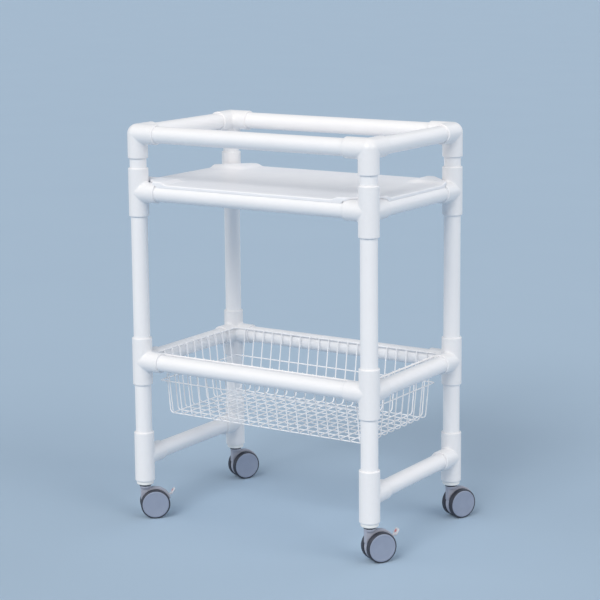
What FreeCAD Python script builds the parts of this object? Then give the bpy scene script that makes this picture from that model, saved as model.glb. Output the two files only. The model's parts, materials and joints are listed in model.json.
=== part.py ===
"""Medical chart rack: a PVC pipe frame on four twin-wheel casters, with a shelf panel and a wire basket.

Millimetres, +Z up, origin on the floor at the centre of the four posts. +X is the rack's right and
+Y its back. Every caster piece is drawn in the caster's own frame: the swivel axis is its Z axis, the
wheels trail along its +X, and they turn about a line parallel to its Y axis.
"""
import FreeCAD, Part
import functools
import math
import os
import re
import Sketcher

SIZES = {
    # frame: between the centre lines of the posts, and from each rail up to the next
    "post_span_x": 670,
    "post_span_y": 404,
    "basket_rail_rise": 249,
    "shelf_rail_rise": 432,
    "top_rail_rise": 146,
    # nominal 1-1/4 inch pipe and its slip fittings
    "pipe_od": 42.16,
    "pipe_wall": 3.56,
    "fitting_od": 50.8,
    "fitting_reach": 61,
    "foot_reach": 64,
    "socket_depth": 31.75,
    "socket_clearance": 0.05,
    "pipe_end_gap": 0.25,
    "mouth_chamfer": 1.8,
    # shelf panel: a thin moulded sheet that laps over the rails
    "panel_sheet": 3.2,
    "panel_overhang": 15,
    "panel_skirt": 5.8,
    "panel_seat_gap": 0.15,
    "panel_corner_cut": 71,
    "panel_corner_round": 12,
    "corner_rise": 6.5,
    "corner_slope": 10,
    "corner_reach_x": 90,
    "corner_reach_y": 75,
    "mouth_relief": 2,
    "fitting_headroom": 0.4,
    # wire basket, hung in the frame by its rim
    "rim_wire": 5,
    "band_wire": 3.4,
    "grid_wire": 3.2,
    "weld_gap": 0.05,
    "rim_inset": 22,
    "rim_seat_gap": 0.3,
    "basket_depth": 157,
    "band_drop": 72,
    "basket_taper_x": 16,
    "basket_taper_y": 24,
    "rim_bend": 16,
    "band_bend": 5,
    "grid_bend": 15,
    "front_to_back_count": 20,
    "side_to_side_count": 10,
    "grid_margin_x": 14.5,
    "grid_margin_y": 20,
    # stem socket, caster stem and swivel ring
    "socket_shoulder_od": 43.6,
    "socket_shoulder": 10,
    "shoulder_round": 3,
    "socket_body": 28,
    "stem_od": 11.1,
    "stem_grip": 34,
    "pivot_od": 8,
    "pivot_length": 26,
    "bead_rise": 0.8,
    "bead_height": 4,
    "bead_foot": 3,
    "ring_od": 28,
    "ring_height": 4,
    "ring_gap": 0.3,
    "running_clearance": 0.05,
    # caster
    "wheel_od": 75,
    "wheel_width": 14.5,
    "tyre_thick": 3,
    "disc_rim": 3,
    "disc_face": 3,
    "disc_dome": 0.8,
    "hub_od": 18,
    "tyre_round": 2.2,
    "tyre_gap": 0.05,
    "caster_trail": 24,
    "web_width": 14.6,
    "web_setback": 2,
    "hood_rise": 4,
    "hood_start": 15,
    "hood_sweep": 105,
    "neck_width": 24,
    "neck_lift": 12.5,
    "wheel_headroom": 9.7,
    "collar_height": 6,
    "wheel_gap": 0.6,
    "axle_od": 6,
    "axle_grip": 10.5,
    "axle_end_gap": 0.5,
    "axle_fit": 0.02,
    # turn of each caster about its stem, as the rack stands
    "front_left_heading": 42,
    "front_right_heading": 57,
    "back_right_heading": 63,
    "back_left_heading": 61,
    # brake lever: a tongue hinged in a slot of the hood, and a pad that bends up from its end
    "lever_pivot_depth": 5,
    "lever_pivot_angle": 28,
    "lever_tilt": 28,
    "lever_bend": 31,
    "lever_pin_od": 5,
    "lever_pin_grip": 2.6,
    "lever_knuckle_od": 8.4,
    "lever_tongue": 6,
    "lever_slot_gap": 0.4,
    "lever_swing": 30,
    "lever_tongue_length": 12,
    "lever_pad_length": 16,
    "lever_pad_width": 18,
    "lever_thick": 5,
    "lever_edge_round": 2,
}

# Each corner's side in x and in y, and the turn that points a fitting's outlets along both rails.
CORNERS = {
    "front_left": (-1, -1, 0),
    "front_right": (1, -1, 90),
    "back_right": (1, 1, 180),
    "back_left": (-1, 1, 270),
}
BRAKED_CORNERS = ("front_left", "front_right")

# Heights and reaches that several pieces share.
PIPE_STOP = "(fitting_reach - socket_depth + pipe_end_gap)"
FOOT_PIPE_STOP = "(foot_reach - socket_depth + pipe_end_gap)"
PIPE_BORE = "(pipe_od - 2 * pipe_wall)"
HOUSING_TOP = "(wheel_od + wheel_headroom)"
PIVOT_FOOT = f"({HOUSING_TOP} - pivot_length)"
RING_TOP = f"({HOUSING_TOP} + ring_gap + ring_height)"
FOOT_RAIL = f"({RING_TOP} + socket_shoulder + foot_reach)"
BASKET_RAIL = f"({FOOT_RAIL} + basket_rail_rise)"
SHELF_RAIL = f"({BASKET_RAIL} + shelf_rail_rise)"
TOP_RAIL = f"({SHELF_RAIL} + top_rail_rise)"
PANEL_UNDERSIDE = f"({SHELF_RAIL} + pipe_od / 2 + panel_seat_gap)"
PANEL_FOOT = f"({PANEL_UNDERSIDE} - panel_skirt)"
PANEL_TOP = f"({PANEL_UNDERSIDE} + panel_sheet)"
RIM_RISE = "sqrt((fitting_od / 2 + rim_wire / 2 + rim_seat_gap) ^ 2 - rim_inset ^ 2)"
RIM_HEIGHT = f"({BASKET_RAIL} + {RIM_RISE})"
GRID_TOP = f"({RIM_HEIGHT} + rim_wire / 2)"
GRID_FLOOR = f"({RIM_HEIGHT} - basket_depth)"
GRID_INSET = "(rim_inset + rim_wire / 2 + grid_wire / 2 + weld_gap)"
WHEEL_FACE = "(web_width / 2 + wheel_gap)"
DISC_RADIUS = "(wheel_od / 2 - tyre_thick)"
HOOD_RADIUS = "(wheel_od / 2 + hood_rise)"
LEVER_PIVOT_X = f"(caster_trail + ({HOOD_RADIUS} - lever_pivot_depth) * cos(lever_pivot_angle))"
LEVER_PIVOT_Z = f"(wheel_od / 2 + ({HOOD_RADIUS} - lever_pivot_depth) * sin(lever_pivot_angle))"

V = FreeCAD.Vector
Z_AXIS = V(0, 0, 1)
ALONG_X = FreeCAD.Rotation(V(0, 1, 0), 90)
ALONG_Y = FreeCAD.Rotation(V(1, 0, 0), -90)
ALONG_Z = FreeCAD.Rotation()
DOWNWARD = FreeCAD.Rotation(V(1, 0, 0), 180)
ON_EDGE = FreeCAD.Rotation(V(1, 0, 0), 90)

doc = FreeCAD.newDocument("chart_rack")
sheet = doc.addObject("Spreadsheet::Sheet", "sizes")
for row, (alias, value) in enumerate(SIZES.items(), 1):
    sheet.set(f"A{row}", alias)
    sheet.set(f"B{row}", str(value))
    sheet.setAlias(f"B{row}", alias)
gauge = doc.addObject("Part::Vertex", "gauge")
doc.recompute()
sub_parts = []


def bound(text):
    """An expression in the sheet's aliases, written the way the document needs it."""
    return re.sub(r"[a-z][a-z_]+", lambda word: "sizes." * (word[0] in SIZES) + word[0], str(text))


@functools.lru_cache(maxsize=None)
def number(text):
    """What such an expression comes to."""
    gauge.setExpression("X", bound(text))
    gauge.recompute()
    return gauge.X.Value


def bind(item, sizes):
    """Tie properties of an object to expressions, and give the object back."""
    for name, text in sizes.items():
        item.setExpression(name, bound(text))
    return item


def keep(item, label):
    """Make an object one of the rack's sub-parts."""
    item.Label = label
    sub_parts.append(item)
    return item


# Sketches


def drive(sketch, kind, *target, text):
    """Add a dimension to a sketch and tie it to an expression."""
    index = sketch.addConstraint(Sketcher.Constraint(kind, *target, number(text)))
    sketch.setExpression(f"Constraints[{index}]", bound(text))


def hold(sketch, geometry, end, x, y):
    """Hold a point of a sketch at a distance from the origin along both axes."""
    for kind, axis, text in (("DistanceX", -2, x), ("DistanceY", -1, y)):
        if number(text) == 0:
            sketch.addConstraint(Sketcher.Constraint("PointOnObject", geometry, end, axis))
        else:
            drive(sketch, kind, -1, 1, geometry, end, text=text)


def circle(sketch, x, y, radius):
    centre = V(number(x), number(y), 0)
    geometry = sketch.addGeometry(Part.Circle(centre, Z_AXIS, number(radius)))
    hold(sketch, geometry, 3, x, y)
    drive(sketch, "Radius", geometry, text=radius)


def rounding(point, before, after, radius):
    """The arc that rounds a corner, and where it leaves the line before it and meets the one after."""
    inward, outward = (before - point).normalize(), (after - point).normalize()
    half = inward.getAngle(outward) / 2
    start = point + inward * (radius / math.tan(half))
    end = point + outward * (radius / math.tan(half))
    centre = point + (inward + outward).normalize() * (radius / math.sin(half))
    turns_left = outward.cross(inward).z > 0
    first, last = (start, end) if turns_left else (end, start)
    angles = [math.atan2(place.y - centre.y, place.x - centre.x) for place in (first, last)]
    arc = Part.ArcOfCircle(Part.Circle(centre, Z_AXIS, radius), *angles)
    return arc, start, end, turns_left


def outline(sketch, corners, closed=True):
    """Draw lines through corners, each (x, y, radius) with a radius of 0 at a sharp one."""
    points = [V(number(x), number(y), 0) for x, y, _ in corners]
    meets, leaves = list(points), list(points)
    arcs = {}
    for i, (_, _, radius) in enumerate(corners):
        if number(radius) > 0:
            after = points[(i + 1) % len(points)]
            arc, meets[i], leaves[i], turns_left = rounding(points[i], points[i - 1], after, number(radius))
            arcs[i] = (arc, turns_left)
    spans = len(corners) - (not closed)
    lines = [
        sketch.addGeometry(Part.LineSegment(leaves[i], meets[(i + 1) % len(corners)])) for i in range(spans)
    ]
    for i, (x, y, radius) in enumerate(corners):
        before = lines[i - 1] if closed or i > 0 else None
        after = lines[i] if i < spans else None
        if i in arcs:
            arc, turns_left = arcs[i]
            bend = sketch.addGeometry(arc)
            entry, way_out = (1, 2) if turns_left else (2, 1)
            sketch.addConstraint(Sketcher.Constraint("Tangent", before, 2, bend, entry))
            sketch.addConstraint(Sketcher.Constraint("Tangent", bend, way_out, after, 1))
            drive(sketch, "Radius", bend, text=radius)
            corner = sketch.addGeometry(Part.Point(points[i]), True)
            hold(sketch, corner, 1, x, y)
            for line in (before, after):
                sketch.addConstraint(Sketcher.Constraint("PointOnObject", corner, 1, line))
        elif after is None:
            hold(sketch, before, 2, x, y)
        else:
            hold(sketch, after, 1, x, y)
            if before is not None:
                sketch.addConstraint(Sketcher.Constraint("Coincident", before, 2, after, 1))


def new_body(label):
    body = doc.addObject("PartDesign::Body", label)
    body.AllowCompound = True
    return keep(body, label)


def plane_of(body, role):
    return [feature for feature in body.Origin.OriginFeatures if feature.Role == role][0]


def sketch_on(body, role, x="0", lift="0"):
    """A sketch on one of a body's origin planes, shifted in the plane by x and off it by lift."""
    sketch = body.newObject("Sketcher::SketchObject", f"{body.Name}_sketch")
    sketch.AttachmentSupport = [(plane_of(body, role), "")]
    sketch.MapMode = "FlatFace"
    return bind(sketch, {".AttachmentOffset.Base.x": x, ".AttachmentOffset.Base.z": lift})


def turn_about(body, sketch, axis):
    """Turn a sketch once about its own H_Axis or V_Axis."""
    turned = body.newObject("PartDesign::Revolution", f"{body.Name}_turned")
    turned.Profile = sketch
    turned.ReferenceAxis = (sketch, [axis])
    return turned


# Pipes: cut lengths, hollow, each reaching down to the stop of both its sockets


def pipes(label, role, centres, length, lift=None):
    """Parallel pipes of one length, centred on the plane of their section or standing off it by lift."""
    body = new_body(label)
    sketch = sketch_on(body, role, lift=lift or "0")
    for x, y in centres:
        circle(sketch, x, y, "pipe_od / 2")
        circle(sketch, x, y, f"{PIPE_BORE} / 2")
    pad = body.newObject("PartDesign::Pad", f"{label}_pad")
    pad.Profile = sketch
    pad.SideType = "One side" if lift else "Symmetric"
    bind(pad, {"Length": length})


def rails(level, height, stop, directions):
    for direction in directions:
        name, role, run, spread = {
            "x": ("long", "YZ_Plane", "post_span_x", "post_span_y"),
            "y": ("side", "XZ_Plane", "post_span_y", "post_span_x"),
        }[direction]
        centres = [(f"{side} * {spread} / 2", height) for side in (-1, 1)]
        pipes(f"{level}_{name}_rails", role, centres, f"{run} - 2 * {stop}")


def posts(label, lower_rail, lower_stop, upper_rail):
    """Four pipes between the fittings of two rails, given the heights of those rails."""
    centres = [(f"{x} * post_span_x / 2", f"{y} * post_span_y / 2") for x, y, _ in CORNERS.values()]
    foot = f"{lower_rail} + {lower_stop}"
    pipes(label, "XY_Plane", centres, f"{upper_rail} - {PIPE_STOP} - ({foot})", lift=foot)


# Fittings: moulded sleeves that meet at the corner, with a socket at each mouth


def rod(name, rotation, radius, length, **base):
    """A round bar from a point, along one of the frame's axes."""
    bar = doc.addObject("Part::Cylinder", name)
    bar.Placement = FreeCAD.Placement(V(), rotation)
    bind(bar, {f".Placement.Base.{axis}": text for axis, text in base.items()})
    return bind(bar, {"Radius": radius, "Height": length})


def combine(kind, name, shapes):
    whole = doc.addObject(f"Part::{kind}", name)
    whole.Shapes = shapes
    return whole


def cut(name, base, tool):
    rest = doc.addObject("Part::Cut", name)
    rest.Base = base
    rest.Tool = tool
    return rest


def outlet(name, direction, reach):
    """The outer sleeve and the stepped bore of one outlet, from the fitting's centre to its mouth."""
    rotation, axis, sign = {
        "x": (ALONG_X, "x", "1"),
        "y": (ALONG_Y, "y", "1"),
        "up": (ALONG_Z, "z", "1"),
        "down": (DOWNWARD, "z", "-1"),
    }[direction]
    sleeve = rod(f"{name}_sleeve", rotation, "fitting_od / 2", f"{reach} - mouth_chamfer")
    mouth = doc.addObject("Part::Cone", f"{name}_mouth")
    mouth.Placement = FreeCAD.Placement(V(), rotation)
    bind(mouth, {
        "Radius1": "fitting_od / 2",
        "Radius2": "fitting_od / 2 - mouth_chamfer",
        "Height": "mouth_chamfer",
        f".Placement.Base.{axis}": f"{sign} * ({reach} - mouth_chamfer)",
    })
    bore = rod(f"{name}_bore", rotation, f"{PIPE_BORE} / 2", reach)
    socket_start = {axis: f"{sign} * ({reach} - socket_depth)"}
    socket = rod(f"{name}_socket", rotation, "pipe_od / 2 + socket_clearance", "socket_depth", **socket_start)
    return [sleeve, mouth], [bore, socket]


def fitting(kind, corner, turn, height, directions, reach):
    label = f"{kind}_{corner}"
    side_x, side_y, _ = CORNERS[corner]
    outside, inside = [], []
    for direction in directions:
        sleeves, bores = outlet(f"{label}_{direction}", direction, reach)
        outside += sleeves
        inside += bores
    if "up" not in directions:
        ball = doc.addObject("Part::Sphere", f"{label}_ball")
        outside.append(bind(ball, {"Radius": "fitting_od / 2"}))
    solid = combine("MultiFuse", f"{label}_solid", outside)
    hollow = combine("MultiFuse", f"{label}_hollow", inside)
    moulding = keep(cut(label, solid, hollow), label)
    moulding.Placement = FreeCAD.Placement(V(), FreeCAD.Rotation(Z_AXIS, turn))
    bind(moulding, {
        ".Placement.Base.x": f"{side_x} * post_span_x / 2",
        ".Placement.Base.y": f"{side_y} * post_span_y / 2",
        ".Placement.Base.z": height,
    })


# Shelf panel: the outer form less the same form one sheet further in


def panel_slab(name, inset, foot, height):
    """The panel's outline, inset by a distance, raised from a foot to a height."""
    half_x = f"(post_span_x / 2 + panel_overhang - {inset})"
    half_y = f"(post_span_y / 2 + panel_overhang - {inset})"
    corner_cut = f"(panel_corner_cut - {inset} * (2 - sqrt(2)))"
    radius = f"panel_corner_round - {inset}"
    corners = []
    for side_x, side_y, turn in CORNERS.values():
        along_y = (f"{side_x} * {half_x}", f"{side_y} * ({half_y} - {corner_cut})", radius)
        along_x = (f"{side_x} * ({half_x} - {corner_cut})", f"{side_y} * {half_y}", radius)
        corners += [along_y, along_x] if turn % 180 == 0 else [along_x, along_y]
    sketch = doc.addObject("Sketcher::SketchObject", f"{name}_sketch")
    outline(sketch, corners)
    slab = doc.addObject("Part::Extrusion", name)
    slab.Base = sketch
    slab.DirMode = "Custom"
    slab.Dir = Z_AXIS
    slab.Solid = True
    return bind(slab, {"LengthFwd": f"{height} - {foot}", ".Placement.Base.z": foot})


def raised_corner(name, side_x, side_y, foot):
    """A block over one corner of the shelf whose two inner sides slope."""
    wedge = doc.addObject("Part::Wedge", name)
    wedge.Placement = FreeCAD.Placement(V(), ON_EDGE)
    for axis, side, span, reach in (
        ("X", side_x, "post_span_x / 2", "corner_reach_x"),
        ("Z", -side_y, "post_span_y / 2", "corner_reach_y"),
    ):
        near, far = ("min", "max") if side > 0 else ("max", "min")
        bind(wedge, {
            f"{axis}{near}": f"{side} * ({span} - {reach})",
            f"{axis}2{near}": f"{side} * ({span} - {reach} + corner_slope)",
            f"{axis}{far}": f"{side} * ({span} + panel_overhang + panel_sheet)",
            f"{axis}2{far}": f"{side} * ({span} + panel_overhang + panel_sheet)",
        })
    return bind(wedge, {"Ymin": foot, "Ymax": f"{foot} + corner_rise"})


def panel_form(name, inset, foot, top):
    """A flat slab with four raised corners, inside the panel's outline inset by a distance."""
    slab = panel_slab(f"{name}_slab", inset, foot, top)
    blocks = [
        raised_corner(f"{name}_{corner}", side_x, side_y, top)
        for corner, (side_x, side_y, _) in CORNERS.items()
    ]
    column = panel_slab(f"{name}_column", inset, foot, f"({top} + corner_rise)")
    raised = doc.addObject("Part::MultiCommon", f"{name}_raised")
    raised.Shapes = [combine("MultiFuse", f"{name}_blocks", blocks), column]
    return combine("MultiFuse", name, [slab, raised])


def rail_rooms():
    """The room for the four rails that the panel's skirt laps over."""
    radius = "pipe_od / 2 + panel_seat_gap"
    half_x, half_y = "post_span_x / 2", "post_span_y / 2"
    rooms = []
    for name, side in (("low", "-1"), ("high", "1")):
        rooms.append(rod(f"long_rail_room_{name}", ALONG_X, radius, "post_span_x",
                         x=f"-{half_x}", y=f"{side} * {half_y}", z=SHELF_RAIL))
        rooms.append(rod(f"side_rail_room_{name}", ALONG_Y, radius, "post_span_y",
                         x=f"{side} * {half_x}", y=f"-{half_y}", z=SHELF_RAIL))
    return rooms


def fitting_rooms(corner, side_x, side_y):
    """The room for one fitting: the skirt rises with the panel's corner, and clears both sleeves."""
    rooms = [raised_corner(f"{corner}_skirt_room", side_x, side_y, PANEL_FOOT)]
    length = "(fitting_reach + mouth_relief)"
    centre = {"x": f"{side_x} * post_span_x / 2", "y": f"{side_y} * post_span_y / 2"}
    for axis, rotation, side in (("x", ALONG_X, side_x), ("y", ALONG_Y, side_y)):
        start = dict(centre)
        if side > 0:
            start[axis] += f" - {length}"
        rooms.append(rod(f"{corner}_{axis}_sleeve_room", rotation, "fitting_od / 2 + fitting_headroom",
                         length, z=SHELF_RAIL, **start))
    return rooms


def shelf_panel():
    outer = panel_form("panel_outer", "0", PANEL_FOOT, PANEL_TOP)
    inner = panel_form("panel_inner", "panel_sheet", f"({PANEL_FOOT} - panel_sheet)", PANEL_UNDERSIDE)
    rooms = rail_rooms()
    for corner, (side_x, side_y, _) in CORNERS.items():
        rooms += fitting_rooms(corner, side_x, side_y)
    keep(cut("shelf_panel", outer, combine("MultiFuse", "panel_room", [inner, *rooms])), "shelf_panel")


# Wire basket


def wire(label, role, lift, corners, closed, diameter):
    """A bent wire: a round section swept along a path drawn on one of the origin planes."""
    body = new_body(label)
    path = sketch_on(body, role, lift=lift)
    outline(path, corners, closed)
    section = body.newObject("Sketcher::SketchObject", f"{label}_section")
    section.AttachmentSupport = [(path, "Edge1")]
    section.MapMode = "NormalToEdge"
    circle(section, "0", "0", f"{diameter} / 2")
    doc.recompute()
    sweep = body.newObject("PartDesign::AdditivePipe", f"{label}_sweep")
    sweep.Profile = section
    sweep.Spine = (path, [f"Edge{i + 1}" for i in range(len(path.Shape.Edges))])
    return body, sweep


def hoop(label, height, half_x, half_y, bend, diameter):
    """A level rectangular hoop with rounded corners."""
    signs = ((-1, -1), (1, -1), (1, 1), (-1, 1))
    corners = [(f"{x} * {half_x}", f"{y} * {half_y}", bend) for x, y in signs]
    wire(label, "XY_Plane", height, corners, True, diameter)


def half_basket(axis):
    """From the middle of the basket to the corner of its floor, along an axis."""
    return f"(post_span_{axis} / 2 - {GRID_INSET} - basket_taper_{axis})"


def u_wires(label, role, along, spread, floor, count):
    """A row of U-shaped wires, standing on their floor with both arms leaning outwards."""
    foot = half_basket(along)
    top = f"({foot} + basket_taper_{along})"
    corners = [
        (f"-{top}", GRID_TOP, "0"),
        (f"-{foot}", floor, "grid_bend"),
        (foot, floor, "grid_bend"),
        (top, GRID_TOP, "0"),
    ]
    run = f"(2 * ({half_basket(spread)} - grid_margin_{spread}))"
    body, sweep = wire(label, role, f"-{run} / 2", corners, False, "grid_wire")
    row = body.newObject("PartDesign::LinearPattern", f"{label}_row")
    row.Originals = [sweep]
    row.Direction = (plane_of(body, role), [""])
    bind(row, {"Length": run, "Occurrences": count})
    body.Tip = row


def basket():
    for_band = "(grid_wire / 2 + band_wire / 2 + weld_gap)"
    wall = "(basket_depth + rim_wire / 2)"
    share = f"(band_drop + rim_wire / 2) / {wall}"
    halves = [
        f"(post_span_{axis} / 2 - {GRID_INSET} - basket_taper_{axis} * {share}"
        f" + {for_band} / cos(atan(basket_taper_{axis} / {wall})))"
        for axis in "xy"
    ]
    rim_x, rim_y = "(post_span_x / 2 - rim_inset)", "(post_span_y / 2 - rim_inset)"
    hoop("basket_rim_wire", RIM_HEIGHT, rim_x, rim_y, "rim_bend", "rim_wire")
    hoop("basket_band_wire", f"({RIM_HEIGHT} - band_drop)", *halves, "band_bend", "band_wire")
    u_wires("basket_front_to_back_wires", "YZ_Plane", "y", "x", GRID_FLOOR, "front_to_back_count")
    u_wires("basket_side_to_side_wires", "XZ_Plane", "x", "y", f"({GRID_FLOOR} + grid_wire + weld_gap)",
            "side_to_side_count")


# Stem sockets, stems and swivel rings, all held by the frame


def at_each_post(label, corners):
    """One turned piece at the foot of each post, its outline drawn as (radius, height, rounding)."""
    body = new_body(label)
    for side_x, side_y, _ in CORNERS.values():
        sketch = sketch_on(body, "XZ_Plane", f"{side_x} * post_span_x / 2", f"{-side_y} * post_span_y / 2")
        outline(sketch, corners)
        turn_about(body, sketch, "V_Axis")


def stem_sockets():
    shoulder_top = f"({RING_TOP} + socket_shoulder)"
    bore = "stem_od / 2 + running_clearance"
    body = "pipe_od / 2"
    at_each_post("stem_sockets", [
        (bore, RING_TOP, "0"),
        ("socket_shoulder_od / 2", RING_TOP, "shoulder_round"),
        ("socket_shoulder_od / 2", shoulder_top, "0"),
        (body, shoulder_top, "0"),
        (body, f"{shoulder_top} + socket_body", "0"),
        (bore, f"{shoulder_top} + socket_body", "0"),
    ])


def caster_stems():
    ring_foot = f"({RING_TOP} - ring_height)"
    pivot, bead = "pivot_od / 2", "pivot_od / 2 + bead_rise"
    at_each_post("caster_stems", [
        ("0", PIVOT_FOOT, "0"),
        (pivot, PIVOT_FOOT, "0"),
        (pivot, f"{PIVOT_FOOT} + bead_foot", "0"),
        (bead, f"{PIVOT_FOOT} + bead_foot", "0"),
        (bead, f"{PIVOT_FOOT} + bead_foot + bead_height", "0"),
        (pivot, f"{PIVOT_FOOT} + bead_foot + bead_height", "0"),
        (pivot, ring_foot, "0"),
        ("stem_od / 2", ring_foot, "0"),
        ("stem_od / 2", f"{RING_TOP} + stem_grip", "0"),
        ("0", f"{RING_TOP} + stem_grip", "0"),
    ])


def swivel_rings():
    bore = "stem_od / 2 + running_clearance"
    at_each_post("swivel_rings", [
        (bore, f"{RING_TOP} - ring_height", "0"),
        ("ring_od / 2", f"{RING_TOP} - ring_height", "0"),
        ("ring_od / 2", RING_TOP, "0"),
        (bore, RING_TOP, "0"),
    ])


# Casters


def stand(item, corner, forward="0", height="0", half_turns=0):
    """Place a caster piece: turned to its heading, and moved back along the trail and up."""
    side_x, side_y, _ = CORNERS[corner]
    heading = f"{corner}_heading"
    bind(item, {
        ".Placement.Base.x": f"{side_x} * post_span_x / 2 + {forward} * cos({heading})",
        ".Placement.Base.y": f"{side_y} * post_span_y / 2 + {forward} * sin({heading})",
        ".Placement.Base.z": height,
        ".Placement.Rotation.Angle": f"{heading} + 180 * {half_turns}",
    })


def across(name, radius, width, x="caster_trail", z="wheel_od / 2"):
    """A bar across the caster, centred on its middle plane."""
    return rod(name, ALONG_Y, radius, width, x=x, y=f"-({width}) / 2", z=z)


def lever_slot(name):
    """Room in the hood for the lever's tongue over its whole swing, and for its two pins."""
    middle = "(lever_tilt - lever_swing / 2)"
    back = "(lever_knuckle_od / 2 + 2 * lever_slot_gap)"
    half = f"({back} + lever_slot_gap)"
    slot = doc.addObject("Part::Box", f"{name}_slot")
    turn = FreeCAD.Rotation(V(0, 1, 0), -number(middle))
    slot.Placement = FreeCAD.Placement(V(), turn)
    bind(slot, {
        "Length": f"{back} + lever_tongue_length",
        "Width": "lever_tongue + 2 * lever_slot_gap",
        "Height": f"2 * {half}",
        ".Placement.Base.x": f"{LEVER_PIVOT_X} - {back} * cos({middle}) + {half} * sin({middle})",
        ".Placement.Base.y": "-lever_tongue / 2 - lever_slot_gap",
        ".Placement.Base.z": f"{LEVER_PIVOT_Z} - {back} * sin({middle}) - {half} * cos({middle})",
    })
    pins = "lever_tongue + 2 * lever_pin_grip + 2 * lever_slot_gap"
    holes = across(f"{name}_holes", "lever_pin_od / 2 + running_clearance", pins,
                   LEVER_PIVOT_X, LEVER_PIVOT_Z)
    return [slot, holes]


def caster_housing(corner):
    """The central web between the wheels, with its hood over them and its neck up to the stem."""
    label = f"{corner}_caster_housing"
    web = across(f"{label}_web", "wheel_od / 2 - web_setback", "web_width")
    hood = doc.addObject("Part::Cylinder", f"{label}_hood")
    lean = FreeCAD.Rotation(V(0, 1, 0), -number("hood_start"))
    hood.Placement = FreeCAD.Placement(V(), lean.multiply(ON_EDGE))
    bind(hood, {
        "Radius": HOOD_RADIUS,
        "Height": "web_width",
        "Angle": "hood_sweep",
        ".Placement.Base.x": "caster_trail",
        ".Placement.Base.y": "web_width / 2",
        ".Placement.Base.z": "wheel_od / 2",
    })
    neck = bind(doc.addObject("Part::Box", f"{label}_neck"), {
        "Length": "neck_width",
        "Width": "web_width",
        "Height": f"{HOUSING_TOP} - wheel_od / 2 - neck_lift",
        ".Placement.Base.x": "-neck_width / 2",
        ".Placement.Base.y": "-web_width / 2",
        ".Placement.Base.z": "wheel_od / 2 + neck_lift",
    })
    collar = rod(f"{label}_collar", ALONG_Z, "ring_od / 2", "collar_height",
                 z=f"{HOUSING_TOP} - collar_height")
    pivot_hole = rod(f"{label}_pivot_hole", ALONG_Z, "pivot_od / 2 + running_clearance",
                     "pivot_length + ring_gap", z=f"{PIVOT_FOOT} - ring_gap")
    bead_groove = rod(f"{label}_bead_groove", ALONG_Z, "pivot_od / 2 + bead_rise + running_clearance",
                      "bead_height + 2 * ring_gap", z=f"{PIVOT_FOOT} + bead_foot - ring_gap")
    axle_hole = across(f"{label}_axle_hole", "axle_od / 2 + axle_fit", "web_width")
    holes = [pivot_hole, bead_groove, axle_hole]
    if corner in BRAKED_CORNERS:
        holes += lever_slot(label)
    solid = combine("MultiFuse", f"{label}_solid", [web, hood, neck, collar])
    stand(keep(cut(label, solid, combine("MultiFuse", f"{label}_holes", holes)), label), corner)


def caster_axle(corner):
    label = f"{corner}_caster_axle"
    body = new_body(label)
    sketch = sketch_on(body, "XZ_Plane")
    circle(sketch, "0", "0", "axle_od / 2")
    pad = body.newObject("PartDesign::Pad", f"{label}_pad")
    pad.Profile = sketch
    pad.SideType = "Symmetric"
    bind(pad, {"Length": f"2 * ({WHEEL_FACE} + axle_grip)"})
    stand(body, corner, "caster_trail", "wheel_od / 2")


def wheel_piece(corner, side, kind, corners):
    """A turned piece on the axle, its outline drawn as (distance from the middle plane, radius, rounding)."""
    label = f"{corner}_caster_{side}_{kind}"
    body = new_body(label)
    sketch = sketch_on(body, "YZ_Plane")
    outline(sketch, corners)
    turn_about(body, sketch, "H_Axis")
    stand(body, corner, "caster_trail", "wheel_od / 2", half_turns=(side == "left") * 1)


def wheel(corner, side):
    """A dished disc that is closed on its outer face and carries its hub inside."""
    outer_face = f"({WHEEL_FACE} + wheel_width)"
    web_face = f"({outer_face} - disc_face)"
    bore = "axle_od / 2 + running_clearance"
    rim = f"{DISC_RADIUS} - disc_rim"
    wheel_piece(corner, side, "wheel", [
        (f"{WHEEL_FACE} + axle_grip + axle_end_gap", "0", "0"),
        (f"{WHEEL_FACE} + axle_grip + axle_end_gap", bore, "0"),
        (WHEEL_FACE, bore, "0"),
        (WHEEL_FACE, "hub_od / 2", "0"),
        (web_face, "hub_od / 2", "0"),
        (web_face, rim, "0"),
        (WHEEL_FACE, rim, "0"),
        (WHEEL_FACE, DISC_RADIUS, "0"),
        (f"{outer_face} - disc_dome", DISC_RADIUS, "0"),
        (outer_face, rim, "0"),
        (outer_face, "0", "0"),
    ])


def tyre(corner, side):
    inner = f"{DISC_RADIUS} + tyre_gap"
    outer_face = f"({WHEEL_FACE} + wheel_width - disc_dome)"
    wheel_piece(corner, side, "tyre", [
        (WHEEL_FACE, inner, "0"),
        (outer_face, inner, "0"),
        (outer_face, "wheel_od / 2", "tyre_round"),
        (WHEEL_FACE, "wheel_od / 2", "tyre_round"),
    ])


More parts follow.
